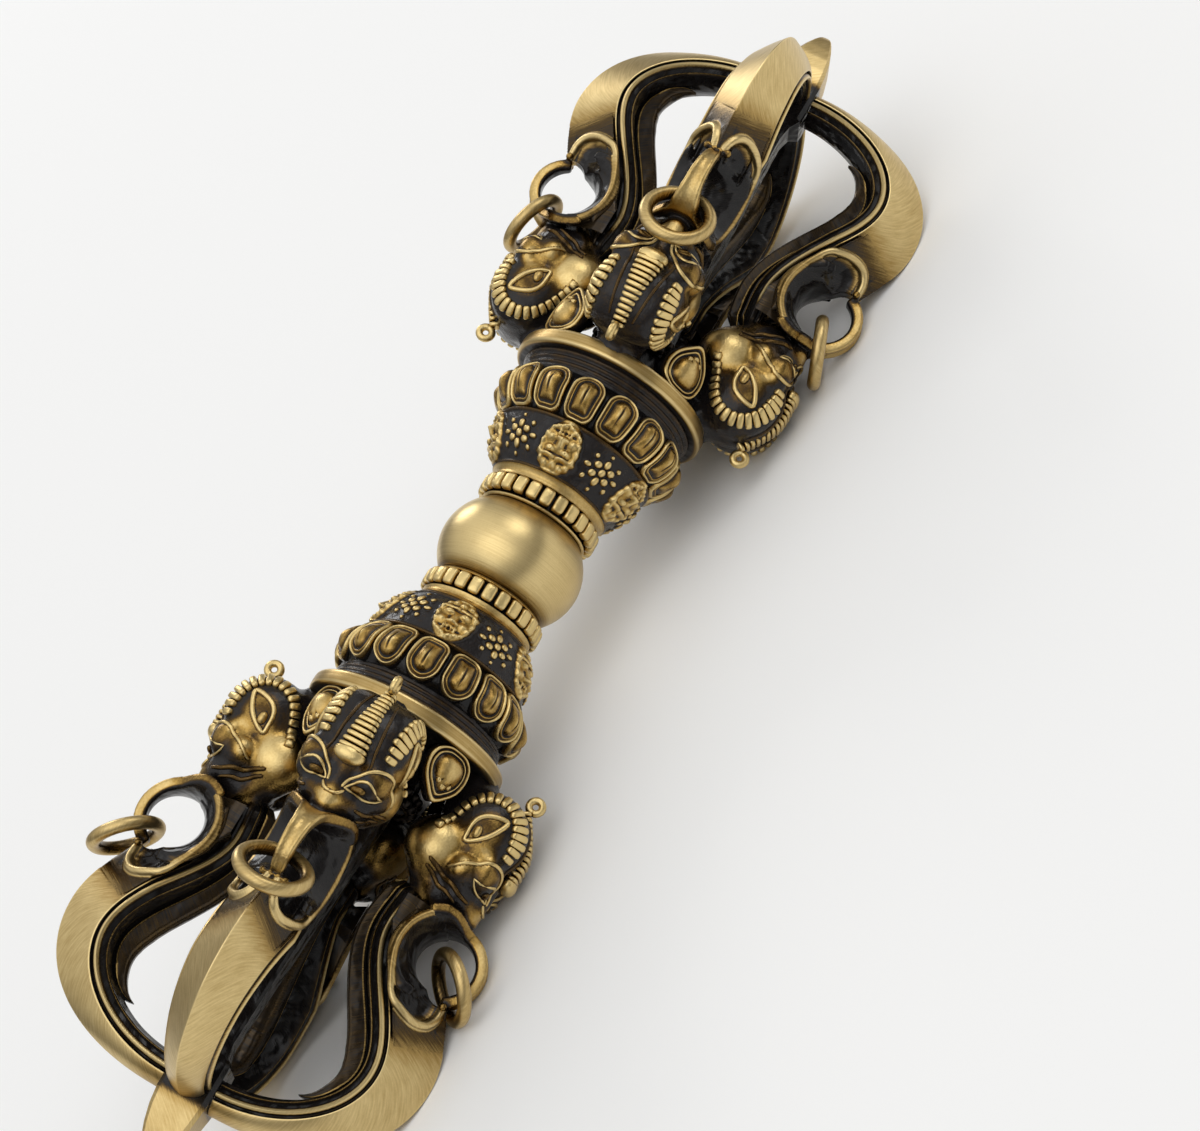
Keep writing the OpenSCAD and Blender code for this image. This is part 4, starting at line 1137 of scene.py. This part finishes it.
# Dark band with five monster masks and florets between them
maskBand = {
    "masks": 5, "from": 8.5, "to": 14.2, "flare": ((0, 7.0), (0.3, 8.2), (0.65, 9.04), (1, 9.4)),
    "flareBlur": 24, "columns": 151, "rows": 76, "sink": 0.25, "widen": 1.14, "lengthen": 1.04, "depth": 1.25,
    # Face of a mask, the bumps and cuts on it, mirrored: place across and along in mm, half sizes, height
    "face": (0.0, 0.0, 1.9, 2.7), "faceLift": 0.26, "faceSpan": (1.25, 0.8),
    "bumps": (
        (0.78, 0.62, 0.46, 0.4, 0.58), (0.0, -0.1, 0.40, 0.75, 0.50), (0.0, -0.55, 0.52, 0.34, 0.34),
        (0.42, -0.62, 0.22, 0.2, 0.22), (1.1, -0.5, 0.5, 0.48, 0.34), (0.85, 1.22, 0.75, 0.24, 0.34),
        (0.28, 1.32, 0.3, 0.3, 0.2), (0.0, 1.95, 0.36, 0.42, 0.46), (0.75, 2.05, 0.3, 0.38, 0.30),
        (1.35, 1.75, 0.34, 0.34, 0.32), (1.75, 1.0, 0.36, 0.42, 0.34), (1.85, 0.1, 0.3, 0.4, 0.28),
        (1.7, -0.75, 0.3, 0.34, 0.26), (0.55, -1.28, 0.2, 0.3, 0.34), (0.2, -1.25, 0.17, 0.2, 0.26),
        (0.9, -1.75, 0.3, 0.3, 0.3), (0.4, -2.0, 0.32, 0.3, 0.34), (1.4, -1.5, 0.28, 0.3, 0.26),
        (0.0, -2.3, 0.26, 0.28, 0.3)),
    "cuts": ((0.0, -1.3, 0.95, 0.16, 0.26), (0.78, 0.62, 0.15, 0.13, 0.2), (0.55, 0.98, 0.5, 0.1, 0.14)),
    # Florets in the gaps, mirrored: place across from the middle of the gap and along, half sizes, height
    "florets": (
        (0.0, 0.0, 0.46, 0.46, 0.5), (0.0, 1.02, 0.44, 0.54, 0.42), (0.0, -1.02, 0.44, 0.54, 0.42),
        (0.92, 0.52, 0.52, 0.42, 0.42), (0.92, -0.52, 0.52, 0.42, 0.42), (1.95, 0.0, 0.52, 0.3, 0.36),
        (1.6, 1.25, 0.32, 0.32, 0.34), (1.6, -1.25, 0.32, 0.32, 0.34), (0.0, 2.0, 0.26, 0.26, 0.3),
        (0.0, -2.0, 0.26, 0.26, 0.3)),
    # Lips at both edges of the band: height and the shares of the length they take
    "lip": 0.22, "lipSpans": ((0.07, 0.03), (0.93, 0.97)),
    # Relief: passes of blur, middle, gain, most, band, carving and where it begins, lips, dark hollows
    "blur": 14, "worn": 0.7, "gain": 2.8, "most": 1.2, "band": 0.18, "carved": 0.76,
    "carvedSpan": (0.08, 0.34), "lipWorn": 0.8, "hollow": -0.08, "hollowDim": 0.5,
}


def maskCollar():
    half = math.pi / maskBand["masks"]
    turn = np.linspace(-half, half, maskBand["columns"])
    share = np.linspace(0, 1, maskBand["rows"])
    length = maskBand["to"] - maskBand["from"]
    radii = np.interp(share, *zip(*maskBand["flare"]))
    for step in range(maskBand["flareBlur"]):
        radii[1:-1] = (radii[:-2] + 2 * radii[1:-1] + radii[2:]) / 4
    x = turn[None, :] * radii[:, None]
    y = (length / 2 - length * share)[:, None]
    spot = (x / maskBand["widen"], y / maskBand["lengthen"])
    bumps = maskBand["faceLift"] * smoothStep(*maskBand["faceSpan"], ovalFar(*spot, maskBand["face"]))
    bumps += softBumps(*spot, maskBand["bumps"]) - softBumps(*spot, maskBand["cuts"])
    gap = np.where(turn < 0, turn + half, turn - half)[None, :] * radii[:, None]
    carving = bumps * maskBand["depth"]
    for *middle, lift in maskBand["florets"]:
        dome = np.sqrt(np.maximum(1 - ovalFar(gap, y, middle), 0))
        carving = np.maximum(carving, lift * dome)
    lips = maskBand["lip"] * sum(smoothStep(*span, share) for span in maskBand["lipSpans"])[:, None]
    proud = carving - blur(carving, maskBand["blur"])
    rubbed = np.clip(maskBand["worn"] + maskBand["gain"] * proud, 0, maskBand["most"])
    relief = maskBand["carved"] * smoothStep(*maskBand["carvedSpan"], carving) * rubbed
    relief += maskBand["band"] + maskBand["lipWorn"] * lips
    relief *= np.where(proud < maskBand["hollow"], maskBand["hollowDim"], 1)
    places = mix(maskBand["from"], maskBand["to"], share)
    return carvedBand("masks", maskBand["masks"], places, radii, carving - maskBand["sink"] + lips, relief)


maskMesh = maskCollar()
print("mask collar:", len(maskMesh.polygons), "faces")

# Corner leaves: teardrops with a double rim and a bud, standing on the plate
leaf = {
    "outline": ((23.45, 0.0), (23.6, 1.4), (24.4, 2.5), (25.8, 2.85), (27.3, 2.45), (28.6, 1.4), (29.6, 0.0)),
    "middle": (25.9, 0.0), "radius": 10.6, "back": (-1.1, 0.0), "bud": (1.04, 0.85), "bend": 0.05,
    "hollowReach": 0.8, "hollowShade": 0.6,
    # Grains on the bud: place along and across, size
    "grains": ((27.7, 0.0, 0.42), (27.35, 0.72, 0.34), (27.35, -0.72, 0.34)), "grainLift": 0.3,
    "grainShape": (0.9, 8, 14), "grainWorn": 0.85,
    # Share of the way out from the middle, height, relief
    "rings": ((1.0, -1.1, 0.0), (1.0, 0.0, 0.3), (0.97, 0.22, 0.9), (0.92, 0.30, 0.95), (0.87, 0.18, 0.5),
              (0.85, -0.12, 0.02), (0.81, -0.14, 0.02), (0.78, 0.12, 0.7), (0.74, 0.2, 0.9), (0.71, 0.1, 0.5),
              (0.69, -0.06, 0.08), (0.66, -0.04, 0.15), (0.6, 0.3, 0.45), (0.5, 0.62, 0.66),
              (0.35, 0.88, 0.76), (0.18, 1.0, 0.8)),
}


def cornerLeaves():
    right = leaf["outline"]
    outline = throughPoints(list(right) + [(t, -y) for t, y in right[-2:0:-1]], closed=True)
    middle = np.array(leaf["middle"])
    n, rows = len(outline), len(leaf["rings"])
    points, worn = [], []
    for share, height, relief in leaf["rings"]:
        flat = middle + (outline - middle) * share
        points.append(np.column_stack((flat, leaf["radius"] + height - leaf["bend"] * flat[:, 1] ** 2)))
        worn += [relief] * n
    for height, relief in (leaf["back"], leaf["bud"]):
        points.append([(*middle, leaf["radius"] + height)])
        worn.append(relief)
    faces = gridFaces(rows, n, joinColumns=True)
    last = (rows - 1) * n
    pairs = [(j, (j + 1) % n) for j in range(n)]
    faces += [(b, a, rows * n) for a, b in pairs]
    faces += [(last + a, last + b, rows * n + 1) for a, b in pairs]
    pieces = [faceOutwards(meshFrom("leaf", np.vstack(points), faces, worn), weld["thin"])]
    for t, y, size in leaf["grains"]:
        at = (t, y, leaf["radius"] + leaf["grainLift"])
        pieces.append(blockAt(at, [size] * 3, *leaf["grainShape"], relief=leaf["grainWorn"]))
    shaded = shadeHollows(joinMeshes("leaf", pieces), leaf["hollowReach"], leaf["hollowShade"])
    return roundTheAxis(shaded, len(corners))


leafMesh = cornerLeaves()
print("leaves done")

# Makara heads: soft forms blended into one skin, then folds, eyes, ears and ribbed crests laid on it
head = {
    "low": (22.8, -6.6, 4.4), "high": (47.8, 6.6, 21.2), "step": 0.18, "hollowReach": 1.2,
    "hollowShade": 0.85, "pebbleShape": (0.95, 10, 18), "pebbleStep": 0.2,
    # Forms, mirrored across the prong: middle, half sizes, how softly each joins
    "balls": (
        ((28.6, 2.2, 13.4), (4.6, 3.05, 4.3), 0.6), ((28.9, 0.0, 13.0), (5.2, 5.0, 5.0), 0.6),
        ((32.2, 2.4, 9.6), (3.4, 3.0, 3.6), 0.8), ((34.4, 1.8, 9.8), (2.2, 2.2, 2.2), 0.6),
        ((32.7, 2.9, 15.6), (2.2, 2.2, 1.6), 0.7), ((35.6, 0.0, 13.6), (2.4, 3.9, 2.9), 0.8),
        ((33.4, 3.3, 13.4), (2.0, 2.1, 1.9), 0.7)),
    # Bars: two ends with a radius at each, how softly it joins
    "bars": (
        ((31.0, 0.0, 12.2), (35.3, 0.0, 11.8), 4.3, 3.5, 0.6),
        ((24.3, 0.0, 9.4), (28.0, 0.0, 11.0), 2.6, 3.4, 0.8),
        ((32.0, 0.0, 15.4), (37.0, 0.0, 15.4), 1.8, 1.5, 0.7)),
    # Trunks of the upper and lower heads: angle round the loop, half width
    "upper": ((-128, 4.2), (-112, 4.0), (-100, 3.6), (-90, 3.05), (-80, 2.35), (-72, 1.8), (-62, 1.55),
              (-48, 1.35), (-25, 1.1), (30, 0.85), (60, 0.72), (72, 0.7)),
    "lower": ((-128, 4.2), (-112, 4.0), (-100, 3.4), (-90, 2.5), (-82, 1.5), (-74, 1.0), (-60, 0.95),
              (30, 0.85), (60, 0.78), (72, 0.8)),
    "level": "upper", "trunkHalf": 0.66, "trunkMiddle": 0.72, "trunkFrom": -134, "trunkEnd": 66,
    "trunkEdge": 0.34, "trunkSoft": 0.45, "wallSoft": 0.25, "flute": 0.2, "fluteAcross": (0.75, 0.1),
    "fluteUp": (0.2, 0.6),
    # Tie across the trunk's end with a knob on each side
    "tieAt": (62, 4.5), "tieHalf": 1.2, "tieRadius": 0.36, "tieSoft": 0.15, "knobRadius": 0.45,
    "knobSoft": 0.12,
    # Places that are darker or that hands have rubbed bright: middle, reach, relief
    "spots": (
        ((34.3, 1.4, 16.8), 2.0, 0.2), ((35.0, 3.6, 14.2), 2.4, 0.2), ((33.8, 2.6, 16.2), 1.7, 0.1),
        ((36.2, 3.6, 12.4), 1.9, 0.2), ((36.0, 1.6, 8.8), 2.0, 0.12), ((27.0, 2.4, 8.0), 3.0, 0.15),
        ((28.9, 5.6, 13.3), 1.3, 0.4), ((32.0, 4.6, 9.8), 2.8, 0.86), ((37.1, 0.0, 16.9), 1.9, 0.78),
        ((37.5, 1.8, 15.9), 1.1, 0.7), ((33.2, 5.0, 12.8), 1.3, 0.8), ((42.5, 0.0, 20.8), 4.4, 0.76),
        ((39.4, 0.0, 19.6), 2.2, 0.8), ((31.6, 4.9, 14.8), 1.4, 0.82)),
    "plain": 0.54, "band": 0.2, "bandSpan": (2.5, 1.5), "topSide": (0.6, -0.2), "topEnd": (32.6, 31.2),
    "spotSpan": (1.25, 0.45), "wall": 0.1, "wallSpan": (0.5, 0.15), "wallFrom": (35.0, 36.5),
    # Shade in creases: reach in mm and strength, and how shut a crease is
    "creases": ((0.5, 0.5), (1.3, 0.4)), "creaseSpan": (0.05, 0.6),
}


def headField(p):
    q = folded(p)
    skin = ballField(q, *head["balls"][0][:2])
    for centre, radii, soft in head["balls"][1:]:
        skin = soften(skin, ballField(q, centre, radii), soft)
    for *bar, soft in head["bars"]:
        skin = soften(skin, barField(q, *bar), soft)
    rho, angle = loopPlace(q)
    overWall = rho - flaredWall(q[:, 1])
    skin = -soften(-skin, overWall, head["wallSoft"])
    half = np.interp(angle, *zip(*head[head["level"]]))
    past = np.radians(np.maximum(angle - head["trunkEnd"], head["trunkFrom"] - angle)) * rho
    # A shallow flute runs along the back of the trunk between its raised edges
    high = overWall - head["trunkMiddle"]
    across = smoothStep(*head["fluteAcross"], q[:, 1] / half)
    flute = head["flute"] * across * smoothStep(*head["fluteUp"], high)
    strip = boxField((np.abs(high) + flute - head["trunkHalf"], q[:, 1] - half, past), head["trunkEdge"])
    skin = soften(skin, strip, head["trunkSoft"])
    t, r = aroundLoop(*head["tieAt"])
    tie, knob = (t, 0.0, r), (t, head["tieHalf"], r)
    skin = soften(skin, barField(q, tie, knob, head["tieRadius"], head["tieRadius"]), head["tieSoft"])
    return soften(skin, ballField(q, knob, [head["knobRadius"]] * 3), head["knobSoft"])


def ontoSkin(points, steps=12, share=0.7):
    p = np.asarray(points, float)
    for step in range(steps):
        p = p - share * slopeAt(headField, p) * headField(p)[:, None]
    return p


def headSkin(crestPath):
    points, faces = sampled(headField, head["low"], head["high"], head["step"])
    normals = slopeAt(headField, points)
    q = folded(points)
    away = np.linalg.norm(q[:, None, :] - crestPath[None], axis=2)
    beside = q[:, 1] - crestPath[away.argmin(axis=1), 1]
    top = smoothStep(*head["topSide"], beside) * smoothStep(*head["topEnd"], points[:, 0])
    dark = np.maximum(smoothStep(*head["bandSpan"], away.min(axis=1)), top)
    worn = mix(head["plain"], head["band"], dark)
    for centre, reach, value in head["spots"]:
        far = np.linalg.norm(q - np.array(centre), axis=1) / reach
        worn = mix(worn, value, smoothStep(*head["spotSpan"], far))
    rho = loopPlace(q)[0]
    inWall = smoothStep(*head["wallSpan"], rho - flaredWall(q[:, 1]))
    worn = mix(worn, head["wall"], inWall * smoothStep(*head["wallFrom"], points[:, 0]))
    for reach, strength in head["creases"]:
        shut = 1 - headField(points + normals * reach) / reach
        worn *= 1 - strength * smoothStep(*head["creaseSpan"], shut)
    return faceOutwards(meshFrom("skin", points, faces, worn), weld["fine"])


# Lines laid on a head's skin, on one side and mirrored, thinner towards their ends
folds = {
    "steps": 6, "thin": 0.45, "thinSpan": (0.12, 0.9),
    # Wire radius, relief, points
    "rows": (
        (0.32, 0.42, ((34.0, 4.6, 9.9), (34.6, 4.4, 11.0), (35.3, 4.2, 11.9), (35.5, 4.2, 13.2),
                      (36.0, 3.8, 14.4), (36.3, 3.2, 15.6))),
        (0.28, 0.4, ((34.9, 4.4, 9.9), (35.5, 4.2, 10.9), (36.2, 4.0, 11.8), (36.4, 4.0, 12.8),
                     (36.9, 3.7, 14.0))),
        (0.24, 0.88, ((34.9, 0.9, 17.0), (33.5, 1.6, 17.5), (32.3, 2.8, 17.2), (31.9, 4.0, 16.2),
                      (32.4, 5.0, 14.6), (33.4, 5.3, 13.0), (34.2, 5.0, 11.8))),
        (0.2, 0.85, ((36.0, 0.0, 17.3), (35.8, 0.8, 17.1), (35.2, 1.3, 16.8))),
        (0.2, 0.36, ((32.6, 2.5, 17.4), (30.8, 2.3, 17.8), (28.5, 2.0, 17.7), (26.3, 1.7, 16.9),
                     (24.8, 1.4, 15.8)))),
}
# Eye: corners, swell of the upper and lower lid, wire and how thin it gets, steps, half sizes of its ball
eye = {"inner": (34.9, 1.15, 16.8), "outer": (33.3, 3.75, 15.45), "upper": (-0.66, 0, 0.3),
       "lower": (0.5, 0, -0.2), "wire": 0.2, "thin": 0.6, "worn": 0.9, "steps": 14,
       "ball": (0.46, 0.95, 0.42), "ballWorn": 0.45}
# Ear: outline along and out from the axis, its place across, wire, and a bump inside it
ear = {"outline": ((26.9, 15.4), (28.8, 14.7), (30.2, 13.5), (30.9, 12.1), (28.7, 12.0), (27.4, 13.1)),
       "across": 5.6, "steps": 6, "wire": 0.29, "worn": 0.95, "bump": (29.6, 12.9),
       "bumpSize": (0.75, 0.5, 0.45), "bumpWorn": 0.75}
# Crests: paths along and out from the axis, ribs, half widths, heights; a bulb in front and a curl behind
crest = {
    "middle": ((31.9, 18.3), (28.5, 18.3), (26.0, 17.2), (23.9, 15.9)), "middleRibs": 14,
    "middleHalf": ((0, 1.7), (1, 0.75)), "middleTall": (0.8, 0.8), "middleSink": 0.6, "middlePower": 0.6,
    "side": ((30.9, 9.1), (28.2, 9.9), (25.8, 11.4), (24.9, 13.7), (25.8, 16.0), (28.2, 17.4), (30.4, 17.6)),
    "sideRibs": 18, "sideHalf": ((0, 0.5), (0.7, 1.0), (0.88, 1.1), (1, 0.7)), "sideTall": (0.4, 0.5),
    "sideAcross": 4.4, "sidePower": 0.55, "ribShare": 0.47, "steps": 10, "bulb": (1.0, 1.75, 0.95),
    "bulbShape": (0.95, 12, 24), "curlAt": (22.9, 16.0), "curlRadius": 0.72, "curlWire": 0.42,
    "curlSteps": 25, "curlWorn": 0.9,
}


def evenly(path, count):
    # Points at even steps along a path
    run = lengthAlong(path)
    goal = np.linspace(0, run[-1], count)
    return np.column_stack([np.interp(goal, run, column) for column in path.T])


def framesAlong(path, outward):
    ahead = np.gradient(path, axis=0)
    ahead = unit(ahead - outward * np.sum(ahead * outward, axis=1, keepdims=True))
    return np.stack((ahead, np.cross(outward, ahead), outward), axis=2)


def crestRibs(kind, path, points, outward):
    share = np.linspace(0, 1, len(path))
    pitch = np.linalg.norm(np.diff(path, axis=0), axis=1).mean()
    wide = np.interp(share, *zip(*crest[f"{kind}Half"]))
    sizes = np.column_stack((0 * share + pitch * crest["ribShare"], wide, mix(*crest[f"{kind}Tall"], share)))
    return ribsInARow(roundedBlock(crest[f"{kind}Power"]), points, framesAlong(path, outward), sizes)


def mirrored(mesh):
    copy = mesh.copy()
    copy.transform(Matrix.Diagonal((1, -1, 1, 1)))
    copy.flip_normals()
    return copy


def pebble(at, sizes, relief):
    # A rounded grain set on the skin with its short axis outwards
    at = ontoSkin([at])
    outward = slopeAt(headField, at)
    frames = framesAlong(np.vstack((at, at + [[head["pebbleStep"], 0, 0]])), np.repeat(outward, 2, axis=0))
    return ribsInARow(roundedBlock(*head["pebbleShape"], relief), at, frames[:1], [sizes])


def foldWires():
    laid = []
    for wire, relief, points in folds["rows"]:
        path = ontoSkin(throughPoints(points, folds["steps"]))
        share = np.linspace(*folds["thinSpan"], len(path))
        taper = mix(folds["thin"], 1, np.sin(share * math.pi))
        laid.append(tube(path, wire * taper, relief))
    return laid


def eyeAndEar():
    inner, outer = np.array(eye["inner"]), np.array(eye["outer"])
    share = np.linspace(0, 1, eye["steps"])[:, None]
    swell = np.sin(share * math.pi)
    middle = inner + (outer - inner) * share
    lids = ontoSkin(np.vstack((middle + swell * eye["upper"], (middle + swell * eye["lower"])[-2::-1])))
    taper = mix(eye["thin"], 1, np.abs(np.sin(np.linspace(0, math.tau, len(lids)))))
    outline = throughPoints([(t, ear["across"], r) for t, r in ear["outline"]], ear["steps"], closed=True)
    bump = (ear["bump"][0], ear["across"], ear["bump"][1])
    return [tube(lids, eye["wire"] * taper, eye["worn"]),
            pebble((inner + outer) / 2, eye["ball"], eye["ballWorn"]),
            tube(ontoSkin(np.vstack((outline, outline[:1]))), ear["wire"], ear["worn"]),
            pebble(bump, ear["bumpSize"], ear["bumpWorn"])]


def middleCrest():
    line = throughPoints([(t, 0, r) for t, r in crest["middle"]], crest["steps"])
    path = evenly(line, crest["middleRibs"])
    outward = np.column_stack((np.gradient(path[:, 2]), 0 * path[:, 0], -np.gradient(path[:, 0])))
    outward /= np.linalg.norm(outward, axis=1, keepdims=True)
    points = path - outward * crest["middleSink"]
    bulb = roundedBlock(*crest["bulbShape"])
    turn = np.linspace(0, math.tau, crest["curlSteps"])
    curl = np.column_stack((crest["curlAt"][0] + crest["curlRadius"] * np.cos(turn), 0 * turn,
                            crest["curlAt"][1] + crest["curlRadius"] * np.sin(turn)))
    return [crestRibs("middle", path, points, outward),
            ribsInARow(bulb, points[:1], framesAlong(path, outward)[:1], [crest["bulb"]]),
            tube(curl, crest["curlWire"], crest["curlWorn"])]


def headMesh(level):
    head["level"] = level
    line = throughPoints([(t, crest["sideAcross"], r) for t, r in crest["side"]], crest["steps"])
    path = ontoSkin(evenly(line, crest["sideRibs"]))
    half = foldWires() + eyeAndEar() + [crestRibs("side", path, path, slopeAt(headField, path))]
    pieces = [headSkin(path)] + half + [mirrored(mesh) for mesh in half] + middleCrest()
    return shadeHollows(joinMeshes("head", pieces), head["hollowReach"], head["hollowShade"])


headMeshes = {level: headMesh(level) for level in ("upper", "lower")}
print("heads:", len(headMeshes["upper"].polygons), "faces each")

# Every piece in its place
stack = {
    "beaded_collar": (collarMesh, "rubbedCastBrass"), "mask_collar": (maskMesh, "rubbedCastBrass"),
    "lotus_cup": (lotusMesh, "rubbedCastBrass"), "rim_plate": (plateMesh, "turnedAntiqueBrass"),
    "corner_leaves": (leafMesh, "rubbedCastBrass"), "spear": (spearOnce, "brushedAntiqueBrass"),
    "bead_string": (stringMesh, "darkPatinaBrass"),
}
for side in sides:
    for part, (mesh, finish) in stack.items():
        place(mesh, f"{side}_{part}_cast", finish, endMatrix(side), "sceptre", f"{side}_{part}")
    for k, corner in enumerate(corners):
        node = f"{side}_{corner}"
        spot = prongMatrix(side, k)
        skin = headMeshes[corner.split("_")[0]]
        wire = ringMesh(f"{node}_ring", side, k)
        place(skin, f"{node}_makara_cast", "rubbedCastBrass", spot, "sceptre", f"{node}_makara")
        place(bladeOnce, f"{node}_blade_brushed", "brushedAntiqueBrass", spot, "sceptre", f"{node}_blade")
        place(wire, f"{node}_ring_wire", "brushedAntiqueBrass", spot, f"{node}_ring", f"{node}_ring")
for name in ("tie_rod", "left_dowel_pins", "right_dowel_pins"):
    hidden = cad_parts[name]
    hidden.data.materials.clear()
    hidden.data.materials.append(materials["darkPatinaBrass"])
print("pieces placed")

# Floor, light and background
studio = {
    "floor": "#f8f8f7", "floorHalf": 3.0, "floorRough": 0.9, "worldTop": "#ffffff", "worldLow": "#4c4c4c",
    "worldLevel": 1.02,
    # Lights: place round the object and height in degrees, distance, size, level
    "lights": (("key", 235, 60, 0.9, 0.85, 1.5), ("fill", 330, 35, 1.0, 0.45, 1.2),
               ("rim", 60, 25, 0.9, 0.3, 1.2)),
}


def makeFloor():
    half = studio["floorHalf"]
    mesh = bpy.data.meshes.new("floor")
    points = [(-half, -half, 0), (half, -half, 0), (half, half, 0), (-half, half, 0)]
    mesh.from_pydata(points, [], [(0, 1, 2, 3)])
    paint = bpy.data.materials.new("paleStudioFloor")
    paint.use_nodes = True
    shader = paint.node_tree.nodes["Principled BSDF"]
    shader.inputs["Base Color"].default_value = linear(studio["floor"])
    shader.inputs["Roughness"].default_value = studio["floorRough"]
    mesh.materials.append(paint)
    floor = bpy.data.objects.new("floor", mesh)
    scene.collection.objects.link(floor)


def makeWorld():
    world = bpy.data.worlds.new("softRoom")
    scene.world = world
    world.use_nodes = True
    tree = world.node_tree
    tree.nodes.clear()
    way = addNode(tree, "ShaderNodeTexCoord").outputs["Generated"]
    height = addNode(tree, "ShaderNodeSeparateXYZ", {0: way}).outputs["Z"]
    ramp = addNode(tree, "ShaderNodeValToRGB", {"Fac": height})
    for stop, key in zip(ramp.color_ramp.elements, ("worldLow", "worldTop")):
        stop.color = linear(studio[key])
    sky = addNode(tree, "ShaderNodeBackground", {
        "Color": ramp.outputs["Color"], "Strength": studio["worldLevel"]})
    addNode(tree, "ShaderNodeOutputWorld", {"Surface": sky.outputs["Background"]})


def makeLights():
    for name, turn, lift, distance, size, watts in studio["lights"]:
        lamp = bpy.data.lights.new(name, "AREA")
        lamp.energy = watts
        lamp.size = size
        light = bpy.data.objects.new(name, lamp)
        a, e = math.radians(turn), math.radians(lift)
        way = Vector((math.cos(a) * math.cos(e), math.sin(a) * math.cos(e), math.sin(e)))
        light.location = Vector((0, 0, axisHeight)) + way * distance
        light.rotation_euler = way.to_track_quat("Z", "Y").to_euler()
        scene.collection.objects.link(light)


# Camera at the photograph's place: near the left end, above the front.
# Its shifts to the right and down are in pixels, as is one of its two focal lengths.
shot = {"fore": 19.5, "lift": 11.0, "distance": 0.35, "roll": 59.3, "focal": 96.93, "sensor": 36.0,
        "near": 0.01, "right": 90.0, "down": 2.5, "focalPixels": 3231.0}


def makeCamera():
    along = Vector((1, 0, 0))
    facing = Vector((0, -1, 1)).normalized()
    below = Vector((0, -1, -1)).normalized()
    fore, lift, roll = (math.radians(shot[k]) for k in ("fore", "lift", "roll"))
    back = math.cos(fore) * (math.cos(lift) * facing + math.sin(lift) * below) - math.sin(fore) * along
    flat = (along - along.dot(back) * back).normalized()
    across = back.cross(flat)
    right = math.cos(roll) * flat - math.sin(roll) * across
    up = math.sin(roll) * flat + math.cos(roll) * across
    lens = bpy.data.cameras.new("camera")
    lens.lens = shot["focal"]
    lens.sensor_width = shot["sensor"]
    lens.clip_start = shot["near"]
    camera = bpy.data.objects.new("camera", lens)
    size = shot["distance"] / shot["focalPixels"]
    aside = shot["right"] * size * right - shot["down"] * size * up
    spot = Vector((0, 0, axisHeight)) + shot["distance"] * back + aside
    camera.matrix_world = Matrix.Translation(spot) @ Matrix((right, up, back)).transposed().to_4x4()
    scene.collection.objects.link(camera)
    scene.camera = camera


makeFloor()
makeWorld()
makeLights()
makeCamera()
scene.view_settings.view_transform = "Standard"
print("studio done")
